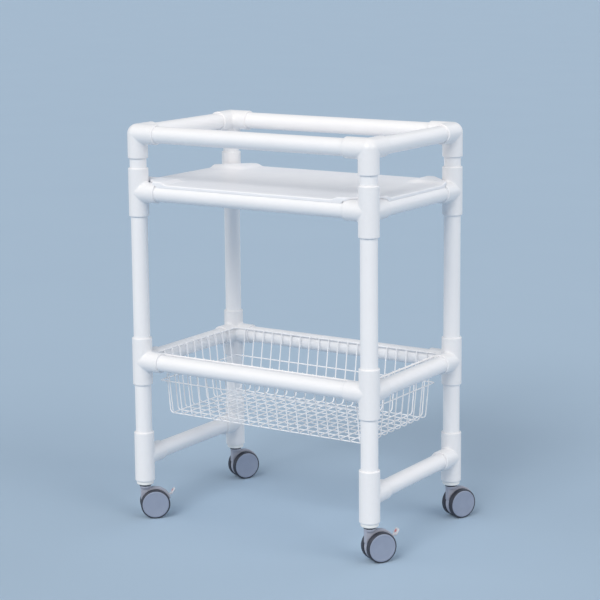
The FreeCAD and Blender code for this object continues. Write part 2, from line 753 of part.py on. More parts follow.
def brake_lever(corner):
    """A bent-up pad on a tongue whose knuckle has a pin moulded on each side; its origin is on the hinge."""
    label = f"{corner}_brake_lever"
    middle = "-lever_tongue / 2"
    knuckle = rod(f"{label}_knuckle", ALONG_Y, "lever_knuckle_od / 2", "lever_tongue", y=middle)
    pins = rod(f"{label}_pins", ALONG_Y, "lever_pin_od / 2", "lever_tongue + 2 * lever_pin_grip",
               y=f"{middle} - lever_pin_grip")
    tongue = bind(doc.addObject("Part::Box", f"{label}_tongue"), {
        "Length": "lever_tongue_length",
        "Width": "lever_tongue",
        "Height": "lever_thick",
        ".Placement.Base.y": middle,
        ".Placement.Base.z": "-lever_thick / 2",
    })
    pad = doc.addObject("Part::Box", f"{label}_pad")
    pad.Placement = FreeCAD.Placement(V(), FreeCAD.Rotation(V(0, 1, 0), -number("lever_bend")))
    bind(pad, {
        "Length": "lever_pad_length + lever_thick / 2",
        "Width": "lever_pad_width",
        "Height": "lever_thick",
        ".Placement.Base.x": "lever_tongue_length + lever_thick / 2 * (sin(lever_bend) - cos(lever_bend))",
        ".Placement.Base.y": "-lever_pad_width / 2",
        ".Placement.Base.z": "-lever_thick / 2 * (sin(lever_bend) + cos(lever_bend))",
    })
    doc.recompute()
    rounded = doc.addObject("Part::Fillet", f"{label}_rounded")
    rounded.Base = pad
    radius = number("lever_edge_round")
    rounded.Edges = [(i + 1, radius, radius) for i in range(len(pad.Shape.Edges))]
    lever = keep(combine("MultiFuse", label, [knuckle, pins, tongue, rounded]), label)
    at_stem = FreeCAD.Placement(
        V(CORNERS[corner][0] * number("post_span_x / 2"), CORNERS[corner][1] * number("post_span_y / 2"), 0),
        FreeCAD.Rotation(Z_AXIS, number(f"{corner}_heading")),
    )
    at_hinge = FreeCAD.Placement(
        V(number(LEVER_PIVOT_X), 0, number(LEVER_PIVOT_Z)),
        FreeCAD.Rotation(V(0, 1, 0), -number("lever_tilt")),
    )
    lever.Placement = at_stem.multiply(at_hinge)


# The whole rack

for rail_level, rail_height in (("top", TOP_RAIL), ("shelf", SHELF_RAIL), ("basket", BASKET_RAIL)):
    rails(rail_level, rail_height, PIPE_STOP, "xy")
rails("foot", FOOT_RAIL, FOOT_PIPE_STOP, "y")
posts("upper_post_pipes", SHELF_RAIL, PIPE_STOP, TOP_RAIL)
posts("middle_post_pipes", BASKET_RAIL, PIPE_STOP, SHELF_RAIL)
posts("lower_post_pipes", FOOT_RAIL, FOOT_PIPE_STOP, BASKET_RAIL)
for corner_name, (_, back_or_front, to_rails) in CORNERS.items():
    for fitting_kind, rail_height, outlets in (
        ("top_elbow", TOP_RAIL, ("x", "y", "down")),
        ("shelf_cross", SHELF_RAIL, ("x", "y", "up", "down")),
        ("basket_cross", BASKET_RAIL, ("x", "y", "up", "down")),
    ):
        fitting(fitting_kind, corner_name, to_rails, rail_height, outlets, "fitting_reach")
    to_other_tee = -90 * back_or_front
    fitting("foot_tee", corner_name, to_other_tee, FOOT_RAIL, ("x", "up", "down"), "foot_reach")
shelf_panel()
basket()
stem_sockets()
caster_stems()
swivel_rings()
for corner_name in CORNERS:
    caster_housing(corner_name)
    caster_axle(corner_name)
    for wheel_side in ("left", "right"):
        wheel(corner_name, wheel_side)
        tyre(corner_name, wheel_side)
    if corner_name in BRAKED_CORNERS:
        brake_lever(corner_name)

doc.removeObject(gauge.Name)
doc.recompute()
for thing in doc.Objects:
    if "Invalid" in thing.State or "Error" in thing.State:
        raise RuntimeError(f"{thing.Label} did not compute: {thing.State}")
for piece in sub_parts:
    if piece.Shape.isNull() or not piece.Shape.isValid() or not piece.Shape.Solids:
        raise RuntimeError(f"{piece.Label} has no sound solid")
os.makedirs("parts", exist_ok=True)
for piece in sub_parts:
    piece.Shape.exportStep(f"parts/{piece.Label}.step")
print(f"{len(sub_parts)} sub-parts, {sum(len(piece.Shape.Solids) for piece in sub_parts)} solids")
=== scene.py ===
# %% [markdown]
# # Dressing a PVC chart rack
#
# The rack is white PVC pipe pushed into moulded fittings, with a thin shelf panel, a dipped wire
# basket and four twin-wheel casters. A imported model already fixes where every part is, so each
# cell below builds one kind of piece as a clean mesh at that place, gives it the finish that its
# real material has, and lets it ride on the body that carries it.

import json
import math

import bmesh
import bpy
import numpy as np
from mathutils import Matrix, Vector
from mathutils.geometry import delaunay_2d_cdt


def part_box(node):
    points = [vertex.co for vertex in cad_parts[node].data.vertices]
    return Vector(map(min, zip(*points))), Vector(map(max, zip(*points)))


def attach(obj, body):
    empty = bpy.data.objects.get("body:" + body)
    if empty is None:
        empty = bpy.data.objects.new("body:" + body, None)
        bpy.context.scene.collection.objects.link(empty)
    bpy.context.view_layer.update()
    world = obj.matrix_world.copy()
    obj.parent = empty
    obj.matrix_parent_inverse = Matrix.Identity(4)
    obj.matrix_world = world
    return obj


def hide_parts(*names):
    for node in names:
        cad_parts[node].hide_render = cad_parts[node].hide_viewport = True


MM = 0.001
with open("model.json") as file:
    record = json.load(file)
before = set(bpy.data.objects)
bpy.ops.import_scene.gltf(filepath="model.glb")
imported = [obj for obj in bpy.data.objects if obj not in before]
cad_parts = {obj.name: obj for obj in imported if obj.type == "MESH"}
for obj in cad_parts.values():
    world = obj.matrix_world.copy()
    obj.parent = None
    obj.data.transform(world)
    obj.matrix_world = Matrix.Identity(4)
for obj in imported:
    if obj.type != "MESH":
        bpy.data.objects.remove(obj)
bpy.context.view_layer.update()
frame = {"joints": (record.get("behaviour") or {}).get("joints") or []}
joints = {joint["name"]: joint for joint in frame["joints"]}

# %% [markdown]
# ## Camera
#
# A long lens from front right, a little above the top rail, so that the posts stay nearly
# parallel. The lens is shifted down a tenth of the frame: that leaves the casters in view without
# tipping the camera, which would make the posts converge.

# %% Camera
CAMERA_PLACE = Vector((2.5428, -3.8871, 1.4916))
CAMERA_YAW = math.radians(33.053)
CAMERA_PITCH = math.radians(-9.426)
CAMERA_ROLL = math.radians(-0.498)
FOCAL_PIXELS, IMAGE_PIXELS = 1880.5, 600


def camera_axes(yaw, pitch, roll):
    """The camera's right, up and backward directions in the rack's frame."""
    level = Vector((-math.sin(yaw), math.cos(yaw), 0))
    forward = level * math.cos(pitch) + Vector((0, 0, math.sin(pitch)))
    right = Vector((math.cos(yaw), math.sin(yaw), 0))
    up = right.cross(forward)
    rolled_right = right * math.cos(roll) + up * math.sin(roll)
    rolled_up = up * math.cos(roll) - right * math.sin(roll)
    return rolled_right, rolled_up, -forward


lens = bpy.data.cameras.new("camera")
lens.lens = FOCAL_PIXELS / IMAGE_PIXELS * lens.sensor_width
lens.shift_y = -0.1
camera = bpy.data.objects.new("camera", lens)
axes = Matrix(camera_axes(CAMERA_YAW, CAMERA_PITCH, CAMERA_ROLL)).transposed()
camera.matrix_world = Matrix.Translation(CAMERA_PLACE) @ axes.to_4x4()
bpy.context.scene.collection.objects.link(camera)
bpy.context.scene.camera = camera
print(f"lens {lens.lens:.1f} mm")

# %% [markdown]
# ## Colour and shader nodes
#
# Colours are written as the hex codes of a colour picker. The renderer works in linear light, so
# one function converts them. A second one adds a shader node with its settings and its inputs,
# where an input is either a value or the output of another node.

# %% Colour and shader nodes
def linear(code):
    """A hex colour such as #F0F0F0 as linear red, green, blue and alpha."""
    shares = [int(code[i:i + 2], 16) / 255 for i in (1, 3, 5)]
    return [s / 12.92 if s <= 0.04045 else ((s + 0.055) / 1.055) ** 2.4 for s in shares] + [1]


def add(tree, kind, inputs=None, **settings):
    """Add a shader node; settings are its own properties, inputs its sockets by name or number."""
    node = tree.nodes.new("ShaderNode" + kind)
    for name, value in settings.items():
        setattr(node, name, value)
    for name, value in (inputs or {}).items():
        if isinstance(value, bpy.types.NodeSocket):
            tree.links.new(value, node.inputs[name])
        else:
            node.inputs[name].default_value = value
    return node


print("white is", [round(c, 2) for c in linear("#FFFFFF")])

# %% [markdown]
# Every finish starts from the principled shader and ends the same way: noise patterns, placed in
# the piece's own metres, lead its colour, its roughness and its relief.

# %% What a finish is made of
def new_material(name, **inputs):
    """A material whose principled shader has these constants; gives its tree and shader too."""
    material = bpy.data.materials.new(name)
    material.use_nodes = True
    shader = material.node_tree.nodes["Principled BSDF"]
    for socket, value in inputs.items():
        shader.inputs[socket.replace("_", " ")].default_value = value
    return material, material.node_tree, shader


def place(tree, scale=(1, 1, 1)):
    """The point of the piece that is shaded, in metres times a scale for each axis."""
    here = add(tree, "TexCoord").outputs["Object"]
    return add(tree, "Mapping", {"Vector": here, "Scale": scale}).outputs["Vector"]


def tint(tree, shader, pattern, colours):
    """Let a pattern's 0 to 1 lead the shader's colour from one hex code to another."""
    first, second = map(linear, colours)
    inputs = {"Factor": pattern.outputs["Fac"], "A": first, "B": second}
    mix = add(tree, "Mix", inputs, data_type="RGBA")
    tree.links.new(mix.outputs["Result"], shader.inputs["Base Color"])


def surface(tree, shader, gloss, roughness, relief, strength, depth):
    """Let one pattern lead the shader's roughness, and one raise and sink its surface."""
    inputs = {"Value": gloss.outputs["Fac"], "To Min": roughness[0], "To Max": roughness[1]}
    spread = add(tree, "MapRange", inputs)
    inputs = {"Height": relief.outputs["Fac"], "Strength": strength, "Distance": depth}
    bump = add(tree, "Bump", inputs)
    tree.links.new(spread.outputs["Result"], shader.inputs["Roughness"])
    tree.links.new(bump.outputs["Normal"], shader.inputs["Normal"])


print("a noise of scale 1 has features", round(1 / MM), "mm long")

# %% [markdown]
# ## Finishes
#
# Nearly all of the rack is white plastic, and what tells one white from another is how the piece
# was made. One white for all would be quicker, and would melt the pieces into each other. Pipe is
# drawn through a die, which leaves faint lines along it, so its noise is stretched along its axis.

# %% Extruded PVC pipe
PVC_IOR = 1.53
DIE_LINE = 2.5 * MM
DIE_LINE_LENGTH = 300 * MM
PIPE_CLOUD = 111 * MM


def extruded_pvc(axis):
    """Rigid PVC drawn through a die: glossy white with faint lines along the pipe's axis."""
    material, tree, shader = new_material(f"extruded_white_pvc_{axis}", IOR=PVC_IOR)
    lines = [1 / DIE_LINE] * 3
    lines["xyz".index(axis)] = 1 / DIE_LINE_LENGTH
    streaks = add(tree, "TexNoise", {"Vector": place(tree, lines), "Scale": 1.0, "Detail": 3.0})
    clouds = add(tree, "TexNoise", {"Vector": place(tree), "Scale": 1 / PIPE_CLOUD, "Detail": 2.0})
    tint(tree, shader, clouds, ("#EEEFF2", "#F3F3F5"))
    surface(tree, shader, streaks, (0.3, 0.42), streaks, 0.25, 0.03 * MM)
    return material


pipe_finish = {axis: extruded_pvc(axis) for axis in "xyz"}
print("pipe finishes:", len(pipe_finish))

# %% [markdown]
# The fittings are the same plastic out of a polished mould, as white as the pipe. Their colour is set
# a shade darker than the pipe's: painted shade that holds down the stronger light on their rounded tops.
# They are glossier than the pipe and have no lines, only the slow ripple of thick plastic that shrank
# as it cooled.

# %% Moulded PVC fitting
MOULD_RIPPLE = 5 * MM


def moulded_pvc():
    """Rigid PVC from a polished mould: the glossiest white here, with a very slight ripple."""
    material, tree, shader = new_material("moulded_white_pvc", IOR=PVC_IOR)
    ripple = add(tree, "TexNoise", {"Vector": place(tree), "Scale": 1 / MOULD_RIPPLE, "Detail": 2.0})
    # both whites sit a shade below the pipe's: painted shade against the stronger light on the fittings
    tint(tree, shader, ripple, ("#EBECEF", "#F0F0F2"))
    surface(tree, shader, ripple, (0.26, 0.38), ripple, 0.2, 0.06 * MM)
    return material


fitting_finish = moulded_pvc()
print("fitting finish:", fitting_finish.name)

# %% [markdown]
# The other plastics differ in colour and in how coarse their grain is. The shelf panel is satin,
# the wires' dipped coat is soft and a little uneven, and the casters' nylon has the fine texture
# of its mould. They share one recipe: a fine noise for gloss and relief, a broad one for colour.

# %% Grained plastics
PANEL_GRAIN = 1.6 * MM     # the real grain is finer, and wouldn't show at this size
DIP_SAG = 9 * MM
NYLON_GRAIN = 0.9 * MM     # coarser than the real one, for the same reason
PATCH = 25                 # grains in a patch of one shade


def grained(name, colours, grain, depth, roughness, ior=1.53):
    """A plastic whose surface took a grain from its mould, or sagged as it set."""
    material, tree, shader = new_material(name, IOR=ior)
    fine = add(tree, "TexNoise", {"Vector": place(tree), "Scale": 1 / grain, "Detail": 3.0})
    broad = add(tree, "TexNoise", {"Vector": place(tree), "Scale": 1 / grain / PATCH, "Detail": 2.0})
    tint(tree, shader, broad, colours)
    surface(tree, shader, fine, roughness, fine, 0.5, depth)
    return material


def nylon(shade, colours, depth, roughness):
    """Moulded nylon: dull, with a fine grain that breaks up its gloss."""
    return grained(f"moulded_{shade}_nylon", colours, NYLON_GRAIN, depth, roughness)


panel_finish = grained(
    "moulded_satin_white_abs", ("#F3F4F7", "#ECEDF2"), PANEL_GRAIN, 0.05 * MM, (0.36, 0.5))
wire_finish = grained(
    "dipped_white_plastisol", ("#F6F6F7", "#EFF0F4"), DIP_SAG, 0.15 * MM, (0.24, 0.4), ior=1.52)
socket_finish = nylon("white", ("#F2F2F0", "#E9EAEA"), 0.04 * MM, (0.36, 0.5))
ring_finish = nylon("black", ("#24262C", "#1A1B20"), 0.05 * MM, (0.42, 0.6))
housing_finish = nylon("light_grey", ("#A9ADBB", "#A0A4B3"), 0.06 * MM, (0.38, 0.52))
disc_finish = grained(
    "moulded_grey_polypropylene", ("#959FB3", "#8B95AA"), NYLON_GRAIN, 0.05 * MM, (0.34, 0.48), ior=1.49)
lever_finish = nylon("pale_grey", ("#CFD1D8", "#C6C9D1"), 0.05 * MM, (0.36, 0.5))
mark_finish = nylon("dull_red", ("#CE8587", "#C47A7D"), 0.04 * MM, (0.4, 0.55))
print(len(bpy.data.materials), "materials so far")

# %% [markdown]
# The tyres are the darkest thing on the rack. Rubber that rolls is never one black: dust lies on it
# in patches, so a broad noise leads both the colour and the gloss, and a fine one the relief.

# %% Soft tyre
TREAD_GRAIN = 0.7 * MM
DUST_PATCH = 16.67 * MM


def soft_tyre():
    """Soft moulded rubber: charcoal, dull, with the paler bloom of floor dust on its tread."""
    material, tree, shader = new_material("moulded_charcoal_rubber", IOR=1.52)
    grain = add(tree, "TexNoise", {"Vector": place(tree), "Scale": 1 / TREAD_GRAIN, "Detail": 4.0})
    dust = add(tree, "TexNoise", {"Vector": place(tree), "Scale": 1 / DUST_PATCH, "Detail": 5.0})
    tint(tree, shader, dust, ("#23252F", "#3A3D49"))
    surface(tree, shader, dust, (0.4, 0.62), grain, 0.6, 0.08 * MM)
    return material


tyre_finish = soft_tyre()
print("tyre finish:", tyre_finish.name)

# %% [markdown]
# The stems and axles are turned steel with a coat of zinc. A metal takes its look from what it
# mirrors, so the shader is fully metallic, and noise squeezed along one axis stands for the rings
# that the lathe left, which spread the highlight.

# %% Zinc-plated steel
TURNING_LINE = 0.6 * MM


def zinc_plated_steel():
    """Turned steel with a bright zinc coat: a metal, with fine rings left by the lathe."""
    material, tree, shader = new_material("zinc_plated_steel", Metallic=1.0)
    squeezed = place(tree, (1, 1, 1 / TURNING_LINE))
    rings = add(tree, "TexNoise", {"Vector": squeezed, "Scale": 1.0, "Detail": 2.0})
    tint(tree, shader, rings, ("#C4C7CC", "#D2D4D8"))
    surface(tree, shader, rings, (0.24, 0.42), rings, 0.4, 0.03 * MM)
    return material


steel_finish = zinc_plated_steel()
print(len(bpy.data.materials), "materials")

# %% [markdown]
# ## Floor and light
#
# A white object needs a floor that is a little darker than it is, or its edges vanish. The floor
# is a pale blue matt sheet, which also sends a cool light up under the rails, as a studio sweep
# does. It is so wide that its far edge lies close to the horizon.

# %% Floor
FLOOR_HALF = 60
FLOOR_MOTTLE = 667 * MM


def studio_floor():
    """A matt painted floor, mottled so faintly that it reads as one colour."""
    material, tree, shader = new_material("matt_pale_blue_paint", Roughness=0.9)
    mottle = add(tree, "TexNoise", {"Vector": place(tree), "Scale": 1 / FLOOR_MOTTLE, "Detail": 3.0})
    tint(tree, shader, mottle, ("#A8BFD4", "#A5BCD2"))
    mesh = bpy.data.meshes.new("studio_floor")
    corners = [(x * FLOOR_HALF, y * FLOOR_HALF, 0) for x, y in ((-1, -1), (1, -1), (1, 1), (-1, 1))]
    mesh.from_pydata(corners, [], [(0, 1, 2, 3)])
    mesh.materials.append(material)
    floor = bpy.data.objects.new("studio_floor", mesh)
    bpy.context.scene.collection.objects.link(floor)


studio_floor()
print("floor:", 2 * FLOOR_HALF, "m wide")

# %% [markdown]
# Round white pipes need light that changes slowly round them. Area lamps could give it, but their
# edges show in the gloss, so four wide, soft suns do. The key comes from the front, well above the
# rack, and draws the forms. The right fill is two thirds as strong, so that a pipe shades off
# gently. The left fill opens the shadow side, and the back fill keeps the back from going dark.

# %% Lamps
def sun(name, strength, colour, spread, azimuth, elevation):
    """A soft sun; azimuth 0 comes from the front, 90 from the rack's right."""
    lamp = bpy.data.lights.new(name, "SUN")
    lamp.energy = strength
    lamp.color = linear(colour)[:3]
    lamp.angle = math.radians(spread)
    turn, rise = math.radians(azimuth), math.radians(elevation)
    towards = Vector((math.sin(turn) * math.cos(rise), -math.cos(turn) * math.cos(rise), math.sin(rise)))
    holder = bpy.data.objects.new(name, lamp)
    holder.rotation_mode = "QUATERNION"
    holder.rotation_quaternion = towards.to_track_quat("Z", "Y")
    bpy.context.scene.collection.objects.link(holder)


sun("key", 1.7, "#FFFAF4", 30, 5, 38)
sun("right_fill", 1.15, "#FFF9F2", 45, 84, 32)
sun("left_fill", 0.7, "#FFF9F2", 60, -45, 30)
sun("back_fill", 0.6, "#F8FAFF", 60, 150, 25)
print(len(bpy.data.lights), "lamps")

# %% [markdown]
# The sky lights the rack softly from all round. Where a camera ray or a mirrored ray meets it, it
# has the floor's own colour instead, so that floor and backdrop run into one sheet.

# %% Sky and backdrop
world = bpy.context.scene.world or bpy.data.worlds.new("studio")
bpy.context.scene.world = world
world.use_nodes = True
tree = world.node_tree
sky = tree.nodes["Background"]
sky.inputs["Color"].default_value = linear("#DCE3ED")
sky.inputs["Strength"].default_value = 0.29
backdrop = add(tree, "Background", {"Color": linear("#A7BBCF"), "Strength": 1.0})
rays = add(tree, "LightPath").outputs
seen = rays["Is Camera Ray"]
for mirrored in ("Is Glossy Ray", "Is Transmission Ray"):
    seen = add(tree, "Math", {0: seen, 1: rays[mirrored]}, operation="MAXIMUM").outputs[0]
choice = add(tree, "MixShader", {0: seen, 1: sky.outputs[0], 2: backdrop.outputs[0]})
tree.links.new(choice.outputs[0], tree.nodes["World Output"].inputs["Surface"])
bpy.context.scene.view_settings.view_transform = "Standard"
print("sky strength", round(sky.inputs["Strength"].default_value, 2))

# %% [markdown]
# ## Shapes
#
# Two ways of making a mesh cover most of the rack. A turned piece is a profile spun about an axis,
# as on a lathe: pipes, wheels, stems. A swept piece is a round section carried along a bent line:
# every wire. Both need corners that are arcs. Each shape is a list of points and a list of faces,
# so that shapes can be moved and joined before they become a mesh.

# %% Arcs and lines with bends
def bent(corners, radii, steps, closed=False):
    """The points of a line through corners, each rounded by an arc of its own radius."""
    corners = [Vector(corner) for corner in corners]
    line = []
    for i, (corner, radius) in enumerate(zip(corners, radii)):
        if radius == 0 or (not closed and i in (0, len(corners) - 1)):
            line.append(corner)
            continue
        back = (corners[i - 1] - corner).normalized()
        ahead = (corners[(i + 1) % len(corners)] - corner).normalized()
        half = back.angle(ahead) / 2
        centre = corner + (back + ahead).normalized() * (radius / math.sin(half))
        start = corner + back * (radius / math.tan(half)) - centre
        end = corner + ahead * (radius / math.tan(half)) - centre
        for step in range(steps + 1):
            line.append(centre + start.slerp(end, step / steps).normalized() * radius)
    return line


def circle(count):
    """The directions of points spaced evenly round a circle, as cosine and sine."""
    angles = [2 * math.pi * step / count for step in range(count)]
    return [(math.cos(angle), math.sin(angle)) for angle in angles]


print("a bend of 8 steps:", len(bent([(0, 0, 0), (1, 0, 0), (1, 1, 0)], [0, 0.2, 0], 8)), "points")

# %% Joining and moving shapes
def joined(shapes):
    """Several shapes as one."""
    points, faces = [], []
    for more_points, more_faces in shapes:
        first = len(points)
        points.extend(more_points)
        faces.extend(tuple(first + i for i in face) for face in more_faces)
    return points, faces


def placed(shape, matrix):
    """A shape moved by a matrix."""
    return [matrix @ Vector(point) for point in shape[0]], shape[1]


def lattice(columns, rows, columns_meet, rows_meet):
    """The quads of a grid of points numbered column by column, whose ends may meet."""
    return [
        (c * rows + r, (c + 1) % columns * rows + r,
         (c + 1) % columns * rows + (r + 1) % rows, c * rows + (r + 1) % rows)
        for c in range(columns - (not columns_meet))
        for r in range(rows - (not rows_meet))
    ]


print("a tube of 12 by 3 points:", len(lattice(12, 3, True, False)), "faces")

# %% Turned and swept shapes
CAP_ANGLES = (0.0, 0.4, 0.8, 1.2)


def turned(profile, steps, closed=True):
    """A profile of (radius, height) points spun once about Z."""
    points = [Vector((radius * across, radius * along, height))
              for across, along in circle(steps) for radius, height in profile]
    return points, lattice(steps, len(profile), True, closed)


def profile_of(corners, steps=4):
    """A closed profile from corners (radius, height, rounding)."""
    line = bent([(r, h, 0) for r, h, _ in corners], [corner[2] for corner in corners], steps, closed=True)
    return [(point.x, point.y) for point in line]


def swept(line, normal, radius, sides, closed=False):
    """A round section carried along a flat line; normal is square to the line's plane."""
    normal = Vector(normal)
    count = len(line)
    rings = []
    for i, point in enumerate(line):
        before = line[i - 1] if closed or i > 0 else point
        after = line[(i + 1) % count] if closed or i < count - 1 else point
        rings.append((point, (after - before).normalized(), radius))
    if not closed:
        cap = [(1 - math.cos(angle), math.sin(angle)) for angle in CAP_ANGLES]
        (start, on, _), (end, off, _) = rings[0], rings[-1]
        rings[:1] = [(start + on * radius * rise, on, radius * share) for rise, share in cap]
        rings[-1:] = [(end - off * radius * rise, off, radius * share) for rise, share in cap[::-1]]
    points = []
    for centre, along, size in rings:
        across = normal.cross(along)
        points += [centre + (across * out + normal * up) * size for out, up in circle(sides)]
    return points, lattice(len(rings), sides, closed, True)


print("a square ring:", len(turned([(1, 0), (2, 0), (2, 1), (1, 1)], 64)[1]), "faces")

# %% [markdown]
# A shape becomes a piece in one place. Points that meet are welded, faces are turned to look
# outwards, edges sharper than 40 degrees stay crisp, and the weighted normals keep long flat or
# round stretches clean beside small roundings.

# %% From shape to piece
WELD = 0.001 * MM
CRISP = math.radians(40)


def plain(name, shape):
    """An object of a shape, without a finish: points that meet welded, faces turned outwards."""
    mesh = bpy.data.meshes.new(name)
    mesh.from_pydata([tuple(point) for point in shape[0]], [], shape[1])
    made = bmesh.new()
    made.from_mesh(mesh)
    bmesh.ops.remove_doubles(made, verts=made.verts, dist=WELD)
    bmesh.ops.recalc_face_normals(made, faces=made.faces)
    made.to_mesh(mesh)
    made.free()
    item = bpy.data.objects.new(name, mesh)
    bpy.context.scene.collection.objects.link(item)
    return item


def piece(name, shape, material, body, slot, *nodes):
    """Make an object of a shape, give it its finish, and let it stand for CAD nodes of a body."""
    item = plain(name, shape)
    item.data.shade_smooth()
    item.data.set_sharp_from_angle(angle=CRISP)
    item.data.materials.append(material)
    weights = item.modifiers.new("weighted_normals", "WEIGHTED_NORMAL")
    weights.keep_sharp = True
    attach(item, body)
    if nodes:
        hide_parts(*nodes)
    return item


print("edges over", round(math.degrees(CRISP)), "degrees stay sharp")

# %% [markdown]
# ## Where the frame's centre lines are
#
# A fitting's mouths are flat faces at a known reach from its centre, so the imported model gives
# each fitting's centre exactly, and with it the posts and the rails.

# %% Centre lines
CORNERS = {"front_left": (-1, -1), "front_right": (1, -1), "back_right": (1, 1), "back_left": (-1, 1)}
FITTING_REACH = 61 * MM
FOOT_REACH = 64 * MM


def rail_height(kind, reach):
    """How high a kind of fitting sits: its lower mouth is one reach below its centre."""
    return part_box(f"{kind}_front_left")[0].z + reach


heights = {
    kind: rail_height(kind, FITTING_REACH) for kind in ("top_elbow", "shelf_cross", "basket_cross")}
heights["foot_tee"] = rail_height("foot_tee", FOOT_REACH)
inner_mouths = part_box("top_elbow_front_right")[0].x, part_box("top_elbow_back_left")[0].y
post_x, post_y = (mouth + FITTING_REACH for mouth in inner_mouths)
print(f"posts at {post_x / MM:.1f} and {post_y / MM:.1f} mm, rails at",
      {kind: round(height / MM, 1) for kind, height in heights.items()})

# %% [markdown]
# ## Pipes
#
# On the rack these are cut lengths of one pipe. A plain cylinder would do from afar, but a cut
# pipe is hollow and its edges are eased by deburring, so each is a turned ring profile.

# %% Pipes
PIPE_RADIUS = 42.16 / 2 * MM
PIPE_WALL = 3.56 * MM
DEBURR = 0.5 * MM
ALONG = {
    "x": Matrix.Rotation(math.radians(90), 4, "Y"),
    "y": Matrix.Rotation(math.radians(-90), 4, "X"),
    "z": Matrix.Identity(4),
}


def pipe(axis, start, end, across):
    """One pipe along an axis, from start to end, through a point across it."""
    inner = PIPE_RADIUS - PIPE_WALL
    run = end - start
    profile = profile_of([
        (inner, 0, 0), (PIPE_RADIUS, 0, DEBURR), (PIPE_RADIUS, run, DEBURR), (inner, run, 0)], steps=3)
    foot = Vector(across)
    foot["xyz".index(axis)] = start
    return placed(turned(profile, steps=72), Matrix.Translation(foot) @ ALONG[axis])


def pipe_row(node, axis, places):
    """All pipes of one node, at places across their axis."""
    low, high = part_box(node)
    index = "xyz".index(axis)
    shapes = [pipe(axis, low[index], high[index], spot) for spot in places]
    piece(f"{node}_extrusion", joined(shapes), pipe_finish[axis], "root", "pvc_pipe", node)


for level in ("top", "shelf", "basket"):
    rail_z = heights["top_elbow" if level == "top" else f"{level}_cross"]
    pipe_row(f"{level}_long_rails", "x", [(0, side * post_y, rail_z) for side in (-1, 1)])
    pipe_row(f"{level}_side_rails", "y", [(side * post_x, 0, rail_z) for side in (-1, 1)])
pipe_row("foot_side_rails", "y", [(side * post_x, 0, heights["foot_tee"]) for side in (-1, 1)])
for level in ("upper", "middle", "lower"):
    pipe_row(f"{level}_post_pipes", "z", [(x * post_x, y * post_y, 0) for x, y in CORNERS.values()])
print(f"pipes {2 * PIPE_RADIUS / MM:.2f} mm across")

# %% [markdown]
# ## Fittings
#
# A fitting is a set of equal sleeves that meet at one centre. Two equal round sleeves at right
# angles meet on a flat diagonal cut, so each sleeve can be gridded on its own, starting on that
# cut, and the grids share their points there. What makes it look moulded is the soft radius in
# each crotch. Blending the distances to the sleeves gives it: points near the cut are pushed out
# until the blended distance is nothing, and where the sleeves already run on smoothly into each
# other the blend has no width, so nothing swells there.

# %% The crotch radius
FITTING_RADIUS = 25.4 * MM
CROTCH_BLEND = 6.5 * MM
NO_BLEND = 1e-9            # keeps a blend of no width from dividing by nothing
FILLET_ROUNDS = 5
PROBE = 0.02 * MM          # the step that measures a slope


def sleeve_distance(points, outlet, through):
    """Distance of points to one sleeve's surface, and the direction that leads away from it."""
    along = points @ outlet
    if not through:
        along = np.maximum(along, 0)
    away = points - np.outer(along, outlet)
    reach = np.linalg.norm(away, axis=1)
    return reach - FITTING_RADIUS, away / reach[:, None]


def blended_distance(points, sleeves):
    """Distance to the whole fitting, with its crotches filled."""
    found = [sleeve_distance(points, outlet, through) for outlet, through in sleeves]
    nearest = np.min([distance for distance, _ in found], axis=0)
    filled = nearest.copy()
    for i, (first, first_way) in enumerate(found):
        for second, second_way in found[:i]:
            width = CROTCH_BLEND * (1 - np.sum(first_way * second_way, axis=1)) + NO_BLEND
            share = np.clip(1 - (np.maximum(first, second) - nearest) / width, 0, 1)
            filled -= width / 4 * share ** 2
    return filled


def filleted(points, sleeves):
    """Points moved along the blended distance's slope until they lie on its surface."""
    points = np.array(points)
    for _ in range(FILLET_ROUNDS):
        slope = []
        for step in np.eye(3) * PROBE:
            rise = blended_distance(points + step, sleeves) - blended_distance(points - step, sleeves)
            slope.append(rise / (2 * PROBE))
        slope = np.stack(slope, axis=1)
        gap = blended_distance(points, sleeves)
        points -= slope * (gap / np.sum(slope ** 2, axis=1))[:, None]
    return points


print(f"the blend in a square crotch is {CROTCH_BLEND / MM:.1f} mm wide")

# %% [markdown]
# Each outlet is a tube that starts on the diagonal cut, runs through rings that crowd towards the
# crotch, where the curve is tightest, turns in over its mouth and steps down to the socket's stop.
# An elbow has no outlet on three of its six sides: an eighth of a ball closes it there.

# %% Cuts and closed corners
AROUND = 64
X, Y, UP, DOWN = (1, 0, 0), (0, 1, 0), (0, 0, 1), (0, 0, -1)


def cut_start(outlet, way, radius, outlets):
    """How far along an outlet its sleeve starts, in a direction across it."""
    return max([0.0] + [radius * float(np.dot(way, other)) for other in outlets if other != outlet])


def ball_corner(radius):
    """The eighth of a ball that closes an elbow where it has no outlet."""
    rows = AROUND // 4
    points, faces, starts = [], [], []
    for row in range(rows + 1):
        starts.append(len(points))
        tilt = math.pi / 2 * row / rows
        for step in range(row + 1):
            turn = math.pi / 2 * (step / row if row else 0)
            level = math.sin(tilt)
            points.append(
                Vector((-level * math.cos(turn), -level * math.sin(turn), math.cos(tilt))) * radius)
        if row:
            upper, lower = starts[row - 1], starts[row]
            faces += [(upper + i, lower + i, lower + i + 1) for i in range(row)]
            faces += [(upper + i, lower + i + 1, upper + i + 1) for i in range(row - 1)]
    return points, faces


print("a closed corner:", len(ball_corner(FITTING_RADIUS)[1]), "faces")

# %% Fitting shapes
SOCKET_DEPTH = 31.75 * MM
SOCKET_RADIUS = PIPE_RADIUS + 0.05 * MM
MOUTH_ROUND = 2.4 * MM
MOUTH_EASE = 0.4 * MM
CROTCH_RINGS = [d * MM for d in (0, 0.8, 1.7, 2.8, 4.1, 5.6, 7.4, 10)]


